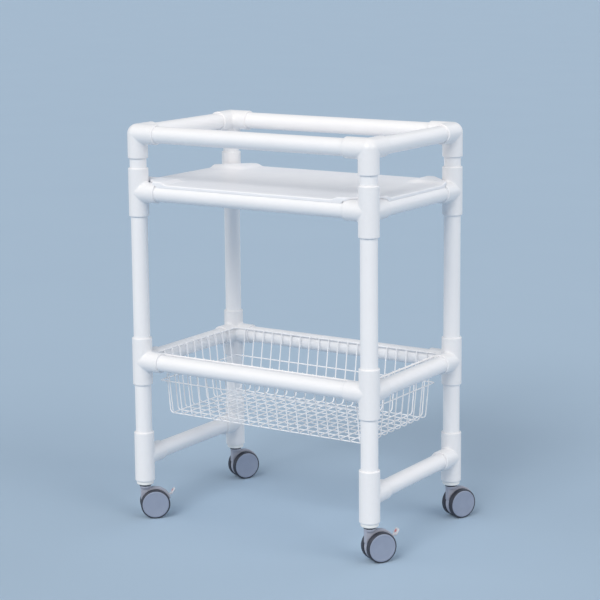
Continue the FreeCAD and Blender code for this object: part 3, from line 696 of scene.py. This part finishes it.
def fitting_shape(outlets, reach):
    """A hollow fitting about its centre, with a stepped socket in each outlet."""
    bore = PIPE_RADIUS - PIPE_WALL
    # up and down are one sleeve, which runs through
    sleeves = [(np.array(outlet, float), outlet == UP) for outlet in outlets
               if not (outlet == DOWN and UP in outlets)]
    mouth = bent([(reach - 2 * MOUTH_ROUND, FITTING_RADIUS, 0), (reach, FITTING_RADIUS, 0),
                  (reach, SOCKET_RADIUS, 0), (reach - SOCKET_DEPTH, SOCKET_RADIUS, 0)],
                 [0, MOUTH_ROUND, MOUTH_EASE, 0], steps=4)
    shapes = []
    for outlet in outlets:
        axis = np.array(outlet, float)
        first, second = np.roll(np.abs(axis), 1), np.roll(np.abs(axis), 2)
        points = []
        for across, along in circle(AROUND):
            way = first * across + second * along
            start = cut_start(outlet, way, FITTING_RADIUS, outlets)
            crotch = [axis * (start + ring) + way * FITTING_RADIUS for ring in CROTCH_RINGS]
            points += list(filleted(crotch, sleeves))
            points += [axis * spot.x + way * spot.y for spot in mouth]
            points.append(axis * (reach - SOCKET_DEPTH) + way * bore)
            points.append(axis * cut_start(outlet, way, bore, outlets) + way * bore)
        rows = len(CROTCH_RINGS) + len(mouth) + 2
        shapes.append(([Vector(point) for point in points], lattice(AROUND, rows, True, False)))
    if UP not in outlets:
        shapes += [ball_corner(FITTING_RADIUS), ball_corner(bore)]
    return joined(shapes)


print("rings in a crotch, mm:", [round(ring / MM, 1) for ring in CROTCH_RINGS])

# %% [markdown]
# One shape of each kind serves all four corners, turned about its post until its rails run inwards.

# %% Fittings on the frame
KINDS = {
    "top_elbow": ((X, Y, DOWN), FITTING_REACH),
    "shelf_cross": ((X, Y, UP, DOWN), FITTING_REACH),
    "basket_cross": ((X, Y, UP, DOWN), FITTING_REACH),
    "foot_tee": ((X, UP, DOWN), FOOT_REACH),
}

for kind, (outlets, reach) in KINDS.items():
    shape = fitting_shape(outlets, reach)
    for quarter, (corner, (side_x, side_y)) in enumerate(CORNERS.items()):
        turn = -90 * side_y if kind == "foot_tee" else 90 * quarter
        spot = Matrix.Translation((side_x * post_x, side_y * post_y, heights[kind]))
        node = f"{kind}_{corner}"
        piece(f"{node}_moulding", placed(shape, spot @ Matrix.Rotation(math.radians(turn), 4, "Z")),
              fitting_finish, "root", "pvc_fitting", node)
    print(kind, len(shape[1]), "faces")

# %% [markdown]
# ## Shelf panel
#
# A thin moulded sheet that lies on the rails, with a lip that turns down over them. At each corner
# it swells up to clear the fitting below. The top and the underside are one set of triangles inside
# the panel's outline, lifted by a smooth function of place. The lip is a section carried round the
# outline. A solidify modifier could thicken it, but it would push the lip's foot into the rails: on
# the real panel the foot is shaped to lie over the round pipe, so its height is worked out instead.

# %% Panel outline
PANEL_SHEET = 3.2 * MM
CORNER_CUT = 71 * MM
CORNER_ROUND = 12 * MM
EDGE_ROLL = 3.6 * MM
PANEL_MESH = 6 * MM
panel_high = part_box("shelf_panel")[1]


def panel_outline():
    """Evenly spaced points round the panel's edge, each with its outward direction."""
    half_x, half_y = panel_high.x, panel_high.y
    corners = []
    for side_x, side_y in CORNERS.values():
        along_y = (side_x * half_x, side_y * (half_y - CORNER_CUT), 0)
        along_x = (side_x * (half_x - CORNER_CUT), side_y * half_y, 0)
        corners += [along_y, along_x] if side_x * side_y > 0 else [along_x, along_y]
    line = bent(corners, [CORNER_ROUND] * len(corners), steps=4, closed=True)
    points = []
    for i, point in enumerate(line):
        span = line[(i + 1) % len(line)] - point
        count = max(1, round(span.length / PANEL_MESH))
        points += [point + span * (step / count) for step in range(count)]
    edge = []
    for i, point in enumerate(points):
        along = (points[(i + 1) % len(points)] - points[i - 1]).normalized()
        edge.append((point, Vector((along.y, -along.x, 0))))
    return edge


panel_edge = panel_outline()
print("panel edge:", len(panel_edge), "points")

# %% [markdown]
# The panel's height is a formula: flat, then an S-shaped rise towards each corner, begun and ended
# at set distances from the post. The lip's foot follows from what passes under it, a rail or a
# fitting's wider sleeve.

# %% Panel height
CORNER_RISE = 6.5 * MM
# where the rise begins and ends along each side
RISE_X = [post_x - off * MM for off in (96, 74)]
RISE_Y = [post_y - off * MM for off in (81, 59)]
LIP_DEPTH = 9 * MM
RAIL_ROOM = PIPE_RADIUS + 0.15 * MM
SLEEVE_ROOM = FITTING_RADIUS + 0.4 * MM
SLEEVE_END = FITTING_REACH + 6 * MM
flat_top = panel_high.z - CORNER_RISE


def ease(value, start, end):
    """0 before start, 1 after end, with no kink between."""
    share = min(max((value - start) / (end - start), 0), 1)
    return share * share * (3 - 2 * share)


def rise_at(spot):
    """How far the panel is lifted: nothing in the middle, CORNER_RISE on the corners."""
    return CORNER_RISE * ease(abs(spot.x), *RISE_X) * ease(abs(spot.y), *RISE_Y)


def lip_foot(spot):
    """How low the lip reaches: it stops above the rail or the sleeve that passes under it."""
    foot = flat_top - LIP_DEPTH
    away = abs(abs(spot.x) - post_x), abs(abs(spot.y) - post_y)
    for off, along in (away, away[::-1]):
        radius = SLEEVE_ROOM + (RAIL_ROOM - SLEEVE_ROOM) * ease(along, FITTING_REACH, SLEEVE_END)
        if off < radius:
            foot = max(foot, heights["shelf_cross"] + math.sqrt(radius ** 2 - off ** 2))
    return foot


print(f"panel {flat_top / MM:.1f} mm up in the middle, {panel_high.z / MM:.1f} on its corners")

# %% [markdown]
# A grid clipped to the outline would leave slivers at its slanted corners. Triangles that are fitted
# between the outline and a loose grid of points inside it follow both.

# %% Panel triangles
TOUCHING = 0.0001 * MM


def panel_sheet(rim):
    """The triangles between the panel's edges, seen from above."""
    inside = []
    count_x, count_y = (round(2 * half / PANEL_MESH) for half in (panel_high.x, panel_high.y))
    for i in range(1, count_x):
        for j in range(1, count_y):
            spot = Vector((panel_high.x * (2 * i / count_x - 1), panel_high.y * (2 * j / count_y - 1), 0))
            clear = min((point - spot).dot(outward) for point, outward in panel_edge)
            if clear > EDGE_ROLL + PANEL_MESH / 2:
                inside.append(spot)
    loop = [(i, (i + 1) % len(rim)) for i in range(len(rim))]
    spots = [point.xy for point in rim + inside]
    flat, _, triangles, *_ = delaunay_2d_cdt(spots, loop, [], 1, TOUCHING)
    return flat, [tuple(face) for face in triangles]


sheet_rim = [point - outward * EDGE_ROLL for point, outward in panel_edge]
flat_spots, flat_triangles = panel_sheet(sheet_rim)
print("panel triangles:", len(flat_triangles))

# %% Panel lip
ROLL_STEPS = 5
LIP_EASE = 1.4 * MM
EASE_MIDDLE = 0.3          # how far in the middle of a rounding lies, as a share of its radius
UNDER_EASE = 0.4 * MM
FOOT_INSETS = [d * MM for d in (1.4, 2.0, 2.6, 3.2)]


def lip_section(point, outward):
    """The lip from the top, over its rolled edge and its foot, to the underside."""
    top = flat_top + rise_at(point)
    section = []
    for step in range(ROLL_STEPS + 1):
        angle = math.pi / 2 * step / ROLL_STEPS
        section.append((EDGE_ROLL * (1 - math.sin(angle)), top - EDGE_ROLL * (1 - math.cos(angle))))
    foot = lip_foot(point)
    section += [(0, foot + LIP_EASE), (LIP_EASE * EASE_MIDDLE, foot + LIP_EASE * EASE_MIDDLE)]
    section += [(inset, lip_foot(point - outward * inset)) for inset in FOOT_INSETS]
    section += [(PANEL_SHEET, top - PANEL_SHEET - UNDER_EASE), (EDGE_ROLL, top - PANEL_SHEET)]
    return [point - outward * inset + Vector((0, 0, height)) for inset, height in section]


def in_plan(spot):
    """Where a point is, seen from above, rounded so that it can be looked up."""
    return round(spot.x, 6), round(spot.y, 6)


def panel_shape():
    """The sheet's top and underside, and the lip round them."""
    lips = [lip_section(point, outward) for point, outward in panel_edge]
    lip_tops = {in_plan(lip[0]): lip[0].z for lip in lips}
    top = []
    for spot in flat_spots:
        height = lip_tops.get(in_plan(spot), flat_top + rise_at(spot))
        top.append(Vector((spot.x, spot.y, height)))
    under = [spot - Vector((0, 0, PANEL_SHEET)) for spot in top]
    lip_points = [spot for lip in lips for spot in lip]
    lip_faces = lattice(len(lips), len(lips[0]), True, False)
    return joined([(top, flat_triangles), (under, flat_triangles), (lip_points, lip_faces)])


panel = piece("shelf_panel_sheet", panel_shape(), panel_finish, "root", "shelf_sheet", "shelf_panel")
print("panel:", len(panel.data.polygons), "faces")

# %% [markdown]
# ## Wire basket
#
# The basket is bent wire, welded and then dipped in plastic. A rim and a band are closed hoops, and
# two rows of U-shaped wires cross in the floor and stand up as the walls. Each wire is a round
# section carried along its bent line, with a rounded end where the coat closed over the cut. The
# side-to-side wires pass under the others, and the outer two lie at the foot of the front and the
# back wall, where they draw the straight lower edge of the basket.

# %% Hoops
RIM_WIRE = 5 * MM
BAND_WIRE = 3.4 * MM
RIM_BEND = 16 * MM
BAND_BEND = 5 * MM


def hoop(node, wire, bend):
    """A level rounded rectangle of wire, as large as its node."""
    low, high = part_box(node)
    half_x, half_y = high.x - wire / 2, high.y - wire / 2
    height = (low.z + high.z) / 2
    corners = [(x * half_x, y * half_y, height) for x, y in CORNERS.values()]
    line = bent(corners, [bend] * len(corners), steps=10, closed=True)
    shape = swept(line, UP, wire / 2, sides=16, closed=True)
    piece(f"{node}_coated", shape, wire_finish, "basket", "coated_wire", node)
    return half_x, half_y, height


rim = hoop("basket_rim_wire", RIM_WIRE, RIM_BEND)
band = hoop("basket_band_wire", BAND_WIRE, BAND_BEND)
print(f"rim {(rim[2] - band[2]) / MM:.0f} mm above the band")

# %% [markdown]
# A grid wire is one U: down one wall, across the floor and up the other. The walls lean out from
# floor to rim, so each row has a taper. The front-to-back row is laid first, and the side-to-side
# row takes its height and its spread from it.

# %% U-shaped wires
GRID_WIRE = 3.2 * MM
GRID_BEND = 10 * MM
EDGE_ROOM = 9 * MM         # from a wall's foot in to the wire that lies along it
TAPER = {"x": 16 * MM, "y": 24 * MM}
LENGTHWAYS_WIRES, SIDEWAYS_WIRES = 20, 10


def u_row(node, axis, count, floor=None, half=None):
    """A row of wires, each a U in the plane of its axis and Z, spread along the other axis."""
    low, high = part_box(node)
    radius = GRID_WIRE / 2
    along = "xyz".index(axis)
    spread = 1 - along
    top, reach, taper = high.z, high[along] - radius, TAPER[axis]
    floor = floor or low.z + radius
    half = half or high[spread] - radius
    normal = [0, 0, 0]
    normal[spread] = 1
    places = [half * (2 * i / (count - 1) - 1) for i in range(count)]
    shapes = []
    for spot in places:
        corners = []
        for side, height, inset in ((-1, top, 0), (-1, floor, taper), (1, floor, taper), (1, top, 0)):
            corner = [0, 0, height]
            corner[along] = side * (reach - inset)
            corner[spread] = spot
            corners.append(corner)
        line = bent(corners, [0, GRID_BEND, GRID_BEND, 0], steps=8)
        shapes.append(swept(line, normal, radius, sides=12))
    piece(f"{node}_coated", joined(shapes), wire_finish, "basket", "coated_wire", node)
    return {"places": places, "floor": floor, "reach": reach, "top": top, "taper": taper}


lengthways = u_row("basket_front_to_back_wires", "y", LENGTHWAYS_WIRES)
wall_foot = lengthways["reach"] - lengthways["taper"]
sideways = u_row("basket_side_to_side_wires", "x", SIDEWAYS_WIRES,
                 floor=lengthways["floor"] - GRID_WIRE, half=wall_foot - EDGE_ROOM)
print("wires:", len(lengthways["places"]) + len(sideways["places"]))

# %% [markdown]
# Where two wires cross, the plastic they were dipped in pools and sets as a small bead. The beads
# are what makes a dipped basket look dipped and not machined.

# %% Beads of coating
BEAD = 2.3 * MM
BEAD_STEPS = 6


def bead(spot):
    """A small ball of coating."""
    tilts = [math.pi * step / BEAD_STEPS for step in range(BEAD_STEPS + 1)]
    profile = [(BEAD * math.sin(tilt), -BEAD * math.cos(tilt)) for tilt in tilts]
    return placed(turned(profile, steps=10, closed=False), Matrix.Translation(spot))


def arm_at(row, height):
    """How far out a U wire's arm stands at a height."""
    return row["reach"] - row["taper"] * (row["top"] - height) / (row["top"] - row["floor"])


def crossings():
    """Every place where two wires of the basket meet."""
    level = (lengthways["floor"] + sideways["floor"]) / 2
    spots = [(x, y, level) for x in lengthways["places"] for y in sideways["places"]]
    for half_x, half_y, height in (rim, band):
        for side in (-1, 1):
            out_y = side * (arm_at(lengthways, height) + half_y) / 2
            out_x = side * (arm_at(sideways, height) + half_x) / 2
            spots += [(x, out_y, height) for x in lengthways["places"]]
            spots += [(out_x, y, height) for y in sideways["places"]]
    return spots


beads = joined([bead(spot) for spot in crossings()])
piece("basket_coating_beads", beads, wire_finish, "basket", "coated_wire")
print("beads:", len(crossings()))

# %% [markdown]
# ## Stems
#
# A white plastic socket is pressed into the foot of each post, and shows as a short shoulder. The
# caster's steel stem is held in it, with a dark ring between the socket and the turning caster.

# %% Stem sockets
STEM_RADIUS = 11.1 / 2 * MM
RUNNING_GAP = 0.05 * MM
SHOULDER_RADIUS = 43.6 / 2 * MM
SHOULDER = 10 * MM
SHOULDER_ROUND = 3 * MM
SHOULDER_EDGE = 0.4 * MM
SOCKET_LEAD = 1 * MM       # rounding that leads the socket into its pipe
SOCKET_EDGE = 0.5 * MM


def at_each_post(name, corners, material, slot, node):
    """One turned piece under each post, from a section drawn at its real height."""
    shape = turned(profile_of(corners), steps=48)
    spots = [Matrix.Translation((x * post_x, y * post_y, 0)) for x, y in CORNERS.values()]
    item = piece(name, joined([placed(shape, spot) for spot in spots]), material, "root", slot, node)
    print(name, len(item.data.polygons), "faces")


socket_low, socket_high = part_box("stem_sockets")
socket_bore = STEM_RADIUS + RUNNING_GAP
shoulder_top = socket_low.z + SHOULDER
at_each_post("stem_socket_mouldings", [
    (socket_bore, socket_low.z, SOCKET_EDGE),
    (SHOULDER_RADIUS, socket_low.z, SHOULDER_ROUND),
    (SHOULDER_RADIUS, shoulder_top, SHOULDER_EDGE),
    (PIPE_RADIUS, shoulder_top, 0),
    (PIPE_RADIUS, socket_high.z, SOCKET_LEAD),
    (socket_bore, socket_high.z, SOCKET_EDGE),
], socket_finish, "socket_nylon", "stem_sockets")

# %% [markdown]
# Below the ring the stem steps in to a thinner pivot, and a bead near its foot holds the housing
# on. Hardly any of it shows, but a stem that is missing would be seen through the gaps.

# %% Stems and swivel rings
STEM_LEAD = 0.8 * MM
STEM_EDGE = 0.3 * MM
PIVOT_RADIUS = 4 * MM
PIVOT_BEAD = 4.8 * MM
BEAD_FOOT, BEAD_HEAD = 3 * MM, 7 * MM
BEAD_EDGE = 0.4 * MM
RING_SPARE = 1.5 * MM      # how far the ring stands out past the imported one
RING_EDGE = 0.8 * MM
stem_low, stem_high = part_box("caster_stems")
ring_low, ring_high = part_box("swivel_rings")
ring_radius = ring_high.x - post_x + RING_SPARE
bead_foot, bead_head = stem_low.z + BEAD_FOOT, stem_low.z + BEAD_HEAD
at_each_post("caster_stem_pins", [
    (0, stem_low.z, 0),
    (PIVOT_RADIUS, stem_low.z, STEM_LEAD),
    (PIVOT_RADIUS, bead_foot, 0),
    (PIVOT_BEAD, bead_foot, BEAD_EDGE),
    (PIVOT_BEAD, bead_head, BEAD_EDGE),
    (PIVOT_RADIUS, bead_head, 0),
    (PIVOT_RADIUS, ring_low.z, 0),
    (STEM_RADIUS, ring_low.z, STEM_EDGE),
    (STEM_RADIUS, stem_high.z, STEM_LEAD),
    (0, stem_high.z, 0),
], steel_finish, "stem_steel", "caster_stems")
at_each_post("swivel_ring_mouldings", [
    (socket_bore, ring_low.z, 0),
    (ring_radius, ring_low.z, RING_EDGE),
    (ring_radius, ring_high.z, RING_EDGE),
    (socket_bore, ring_high.z, 0),
], ring_finish, "ring_nylon", "swivel_rings")

# %% [markdown]
# ## Casters
#
# Every caster is drawn once in its own frame: the stem is its Z axis, the wheels trail along its X
# axis, and they turn about a line along its Y axis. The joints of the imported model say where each
# one stands and which way it trails.

# %% Caster frames
WHEEL_RADIUS = 37.5 * MM
TRAIL = 24 * MM


def caster_frame(corner):
    """The matrix from a caster's own frame to the rack's."""
    spin = joints[f"{corner}_left_wheel_spin"]["axis"]
    heading = math.atan2(-spin[0], spin[1])
    side_x, side_y = CORNERS[corner]
    return Matrix.Translation((side_x * post_x, side_y * post_y, 0)) @ Matrix.Rotation(heading, 4, "Z")


caster_frames = {corner: caster_frame(corner) for corner in CORNERS}
hub = Matrix.Translation((TRAIL, 0, WHEEL_RADIUS))
outward_turn = {"right": ALONG["y"], "left": Matrix.Rotation(math.radians(90), 4, "X")}
print({corner: round(math.degrees(m.to_euler().z)) for corner, m in caster_frames.items()})

# %% [markdown]
# A wheel is a dished grey disc, closed outside and hollow towards the housing, with a soft tyre
# pressed on. Its outer face has a flat border, a fine step and a slightly sunk middle, which is
# what catches the light on a moulded disc.

# %% Wheel discs
WHEEL_FACE = 7.9 * MM      # from the middle of the caster to the wheel's inner face
WHEEL_WIDTH = 14.5 * MM
AXLE_RADIUS = 3 * MM
BORE_DEPTH = 11 * MM
BOSS_RADIUS = 9 * MM
RIM_INSIDE = 31.5 * MM
DISC_RADIUS = 34 * MM
DISC_WEB = 3.4 * MM
BORDER_DROP = 0.8 * MM     # how far the disc's edge lies behind its border
BORDER_OUTSIDE, BORDER_INSIDE = 32 * MM, 29 * MM
STEP_RADIUS, STEP = 28.6 * MM, 0.5 * MM
DISH_RADIUS, DISH = 12 * MM, 0.9 * MM
DISH_MIDDLE = 0.7 * MM
INNER_EASE, BOSS_EASE, WEB_EASE, DISC_EDGE = 0.4 * MM, 0.6 * MM, 1 * MM, 0.5 * MM
BORDER_ROUND, STEP_EASE, DISH_ROUND = 1.2 * MM, 0.3 * MM, 3 * MM
outer_face = WHEEL_FACE + WHEEL_WIDTH
border_face = outer_face - BORDER_DROP


def disc_profile():
    """The disc's section, from the bottom of its bore round its rim to its middle outside."""
    bore, blind, web = AXLE_RADIUS + RUNNING_GAP, WHEEL_FACE + BORE_DEPTH, outer_face - DISC_WEB
    return profile_of([
        (0, blind, 0), (bore, blind, 0), (bore, WHEEL_FACE, INNER_EASE),
        (BOSS_RADIUS, WHEEL_FACE, BOSS_EASE), (BOSS_RADIUS, web, WEB_EASE),
        (RIM_INSIDE, web, WEB_EASE), (RIM_INSIDE, WHEEL_FACE, INNER_EASE),
        (DISC_RADIUS, WHEEL_FACE, 0), (DISC_RADIUS, border_face, DISC_EDGE),
        (BORDER_OUTSIDE, outer_face, BORDER_ROUND), (BORDER_INSIDE, outer_face, STEP_EASE),
        (STEP_RADIUS, outer_face - STEP, STEP_EASE), (DISH_RADIUS, outer_face - DISH, DISH_ROUND),
        (0, outer_face - DISH_MIDDLE, 0),
    ])


disc = turned(disc_profile(), steps=96)
print("disc:", len(disc[1]), "faces")

# %% [markdown]
# The tyre is a plain band with rounded shoulders. A shallow groove round its middle catches the
# light as a fine line, which a bump map would lose on the tyre's edge.

# %% Tyres and wheels on their axles
TYRE_GAP = 0.05 * MM
TYRE_ROUND = 2.2 * MM
TYRE_EDGE = 0.3 * MM
GROOVE_HALF, GROOVE = 0.4 * MM, 0.25 * MM


def tyre_profile():
    """The tyre's section, from inner edge to outer edge."""
    inner, middle = DISC_RADIUS + TYRE_GAP, (WHEEL_FACE + border_face) / 2
    return profile_of([
        (inner, WHEEL_FACE, TYRE_EDGE), (WHEEL_RADIUS, WHEEL_FACE, TYRE_ROUND),
        (WHEEL_RADIUS, middle - GROOVE_HALF, 0), (WHEEL_RADIUS - GROOVE, middle, 0),
        (WHEEL_RADIUS, middle + GROOVE_HALF, 0), (WHEEL_RADIUS, border_face, TYRE_ROUND),
        (inner, border_face, TYRE_EDGE),
    ])


tyre = turned(tyre_profile(), steps=96)
for corner, own_frame in caster_frames.items():
    for side, outward in outward_turn.items():
        matrix = own_frame @ hub @ outward
        body, label = f"{corner}_{side}_wheel", f"{corner}_caster_{side}"
        piece(f"{label}_disc", placed(disc, matrix), disc_finish, body, "wheel_grey", f"{label}_wheel")
        piece(f"{label}_tread", placed(tyre, matrix), tyre_finish, body, "tyre", f"{label}_tyre")
print("wheels:", len(caster_frames) * len(outward_turn))

# %% [markdown]
# The housing is one grey moulding: a round web between the wheels, a hood over them, and a neck up
# to the stem. Seen from the side it is a flat outline, so it is drawn as one with arcs, pushed out
# to its width and bevelled all round. The collar at the top is round, and a boolean joins it on.

# %% Housing outline
WEB_RADIUS = 35.5 * MM
HOOD_RADIUS = 41.5 * MM
HOOD_START = math.radians(15)
NECK_HALF = 12 * MM
NECK_FOOT = 50 * MM
NECK_ROUND = 8 * MM
SHORT_OF_NECK, SHORT_OF_HOOD, AFTER_HOOD = 0.12, 0.04, 0.03    # angles left for the corners
housing_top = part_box("front_left_caster_housing")[1].z


def arc_about_hub(radius, start, end, steps):
    """Points of an arc about the wheels' axle, in the caster's X and Z."""
    angles = [start + (end - start) * i / steps for i in range(steps + 1)]
    return [Vector((TRAIL + radius * math.cos(angle), 0, WHEEL_RADIUS + radius * math.sin(angle)))
            for angle in angles]


def housing_outline():
    """The housing's side view, anticlockwise from the front of the neck."""
    neck_meets_web = math.pi - math.asin((NECK_FOOT - WHEEL_RADIUS) / WEB_RADIUS)
    hood_meets_neck = math.acos((NECK_HALF - TRAIL) / HOOD_RADIUS)
    web_end = 2 * math.pi + HOOD_START - SHORT_OF_HOOD
    web = arc_about_hub(WEB_RADIUS, neck_meets_web + SHORT_OF_NECK, web_end, steps=40)
    hood = arc_about_hub(HOOD_RADIUS, HOOD_START + AFTER_HOOD, hood_meets_neck, steps=28)
    back, front = Vector((NECK_HALF, 0, housing_top)), Vector((-NECK_HALF, 0, housing_top))
    neck_front = bent([front, (-NECK_HALF, 0, NECK_FOOT), web[0]], [0, NECK_ROUND, 0], steps=5)
    return web + hood + [back, front] + neck_front[1:-1]


def plate(outline, width):
    """An outline in X and Z pushed out to a width along Y."""
    count = len(outline)
    points = [point + Vector((0, side * width / 2, 0)) for side in (-1, 1) for point in outline]
    faces = [tuple(range(count)), tuple(range(2 * count - 1, count - 1, -1))]
    faces += [(i, i + count, (i + 1) % count + count, (i + 1) % count) for i in range(count)]
    return points, faces


print("housing outline:", len(housing_outline()), "points")

# %% [markdown]
# Bevels and booleans are modifiers, and left as such they would run once for each caster. Here each
# is turned into plain mesh at once, and the finished housing is copied. Those with a brake get a
# slot for the lever.

# %% Modifiers into mesh, and the lever's slot
LEVER_SLOT = 6.8 * MM
SLOT_TILT = math.radians(13)
SLOT_BACK, SLOT_FRONT, SLOT_HALF = -5, 12, 5.4    # in mm from the lever's hinge


def reshaped(item, kind, **settings):
    """Add a modifier with its settings, and turn what it makes into the item's mesh."""
    modifier = item.modifiers.new(kind, kind)
    for name, value in settings.items():
        setattr(modifier, name, value)
    graph = bpy.context.evaluated_depsgraph_get()
    mesh = bpy.data.meshes.new_from_object(item.evaluated_get(graph))
    item.modifiers.clear()
    item.data = mesh


def combine(item, shape, operation):
    """Join a shape to an item, or cut it out."""
    other = plain("tool", shape)
    reshaped(item, "BOOLEAN", operation=operation, solver="EXACT", object=other)
    bpy.data.objects.remove(other)


def lever_slot():
    """The block that is cut out of a hood for its lever, in the caster's frame."""
    pivot = caster_frames["front_left"].inverted() @ Vector(joints["front_left_brake_press"]["pos_m"])
    low = [(SLOT_BACK, -SLOT_HALF), (SLOT_FRONT, -SLOT_HALF)]
    high = [(SLOT_FRONT, SLOT_HALF), (SLOT_BACK, SLOT_HALF)]
    block = plate([Vector((x, 0, z)) * MM for x, z in low + high], LEVER_SLOT)
    return placed(block, Matrix.Translation(pivot) @ Matrix.Rotation(-SLOT_TILT, 4, "Y"))


print(f"slot {LEVER_SLOT / MM:.1f} mm wide")

# %% Housings
HOUSING_WIDTH = 14.6 * MM
HOUSING_BEVEL = 1 * MM
BEVELLED_ABOVE = math.radians(50)
COLLAR_RADIUS = 14 * MM
COLLAR = 6 * MM
COLLAR_FOOT, COLLAR_EDGE = 1.5 * MM, 0.8 * MM


def housing_shape(braked):
    """The housing in its caster's frame."""
    body = plain("housing_plate", plate(housing_outline(), HOUSING_WIDTH))
    reshaped(body, "BEVEL", width=HOUSING_BEVEL, segments=3,
             limit_method="ANGLE", angle_limit=BEVELLED_ABOVE)
    collar_foot = housing_top - COLLAR
    collar = profile_of([
        (0, collar_foot, 0), (COLLAR_RADIUS, collar_foot, COLLAR_FOOT),
        (COLLAR_RADIUS, housing_top, COLLAR_EDGE), (0, housing_top, 0)])
    combine(body, turned(collar, steps=48), "UNION")
    if braked:
        combine(body, lever_slot(), "DIFFERENCE")
    shape = [v.co.copy() for v in body.data.vertices], [tuple(p.vertices) for p in body.data.polygons]
    bpy.data.objects.remove(body)
    return shape


BRAKED = ("front_left", "front_right")
housings = {braked: housing_shape(braked) for braked in (False, True)}
for corner, own_frame in caster_frames.items():
    label = f"{corner}_caster_housing"
    piece(f"{label}_moulding", placed(housings[corner in BRAKED], own_frame), housing_finish,
          f"{corner}_caster", "caster_grey", label)
print("housing:", {braked: len(shape[1]) for braked, shape in housings.items()}, "faces")

# %% [markdown]
# The axle is a plain steel pin with eased ends, which lie inside the wheels. It is turned like the
# pipes, about its own middle.

# %% Axles
AXLE_HALF = 18.4 * MM
AXLE_EDGE = 0.5 * MM


def pin_shape(radius, half, edge, steps):
    """A round pin along Z, with eased ends."""
    corners = [(0, -half, 0), (radius, -half, edge), (radius, half, edge), (0, half, 0)]
    return turned(profile_of(corners), steps)


pin = pin_shape(AXLE_RADIUS, AXLE_HALF, AXLE_EDGE, 32)
for corner, own_frame in caster_frames.items():
    label = f"{corner}_caster_axle"
    piece(f"{label}_pin", placed(pin, own_frame @ hub @ ALONG["y"]), steel_finish, f"{corner}_caster",
          "axle_steel", label)
print(f"axles {2 * AXLE_HALF / MM:.1f} mm long")

# %% [markdown]
# The two front casters have a brake lever. Its tongue hinges in a slot of the hood, and a pad bends
# up from the tongue's end, with a dull red spot on it to show where to press. It is a row of rounded
# sections of changing size along a line with one bend.

# %% Lever shape
LEVER_BEND = math.radians(31)
TONGUE, BEND_HALF = 12, 3  # where the tongue ends, and how far from there the bend reaches, in mm
SQUARENESS = 0.6           # 0 gives a round section, 1 a square one
SECTIONS = [  # distance from the hinge, half width, half thickness
    (-4.1, 2.0, 1.4), (-3.5, 2.8, 2.6), (-2.2, 3.0, 3.6), (0, 3.0, 4.1), (2.6, 3.0, 3.3), (4.6, 3.0, 2.5),
    (9.4, 3.2, 2.3), (10.4, 7.4, 2.2), (12, 8.7, 2.3), (15, 8.9, 2.3), (20, 8.9, 2.2), (24.5, 8.7, 2.1),
    (26.6, 7.8, 1.8), (27.6, 6.2, 1.2), (27.9, 4.8, 0.6),
]
LEVER_SIDES = 24


def along_lever(run):
    """A point on the lever's middle line, in mm, and how far the line has bent up there."""
    past = max(run - TONGUE, 0)
    spot = Vector((min(run, TONGUE) + past * math.cos(LEVER_BEND), 0, past * math.sin(LEVER_BEND)))
    return spot, LEVER_BEND * ease(run, TONGUE - BEND_HALF, TONGUE + BEND_HALF)


def lever_shape():
    """The lever along X from its hinge, closed at both ends."""
    points = []
    for run, half_width, half_thick in SECTIONS:
        spot, bend = along_lever(run)
        up = Vector((-math.sin(bend), 0, math.cos(bend)))
        for across, height in circle(LEVER_SIDES):
            square = max(abs(across), abs(height)) ** SQUARENESS
            out = Vector((0, across / square * half_width, 0))
            points.append((spot + up * (height / square * half_thick) + out) * MM)
    faces = lattice(len(SECTIONS), LEVER_SIDES, False, True)
    last = len(points) - 1
    faces += [tuple(range(LEVER_SIDES)), tuple(range(last, last - LEVER_SIDES, -1))]
    return points, faces


print(f"lever {(SECTIONS[-1][0] - SECTIONS[0][0]):.0f} mm long")

# %% Brake levers on their casters
LEVER_TILT = math.radians(28)
HINGE_RADIUS, HINGE_HALF, HINGE_EDGE = 2.5 * MM, 5.6 * MM, 0.3 * MM
MARK_SPOT, MARK_RADIUS, MARK_EDGE = 20, 4.2 * MM, 0.4 * MM
MARK_FOOT, MARK_TOP = 1 * MM, 2.4 * MM

hinge_pin = placed(pin_shape(HINGE_RADIUS, HINGE_HALF, HINGE_EDGE, 24), ALONG["y"])
lever = joined([lever_shape(), hinge_pin])
mark = turned(profile_of([
    (0, MARK_FOOT, 0), (MARK_RADIUS, MARK_FOOT, 0),
    (MARK_RADIUS, MARK_TOP, MARK_EDGE), (0, MARK_TOP, 0)]), steps=32)
mark_spot = Matrix.Translation(along_lever(MARK_SPOT)[0] * MM) @ Matrix.Rotation(-LEVER_BEND, 4, "Y")
for corner in BRAKED:
    hinge = joints[f"{corner}_brake_press"]["pos_m"]
    turn = caster_frames[corner].to_3x3().to_4x4() @ Matrix.Rotation(-LEVER_TILT, 4, "Y")
    matrix = Matrix.Translation(hinge) @ turn
    body = f"{corner}_brake_lever"
    piece(f"{body}_moulding", placed(lever, matrix), lever_finish, body, "lever_grey", body)
    piece(f"{body}_mark", placed(mark, matrix @ mark_spot), mark_finish, body, "lever_grey")
print("lever:", len(lever[1]), "faces")
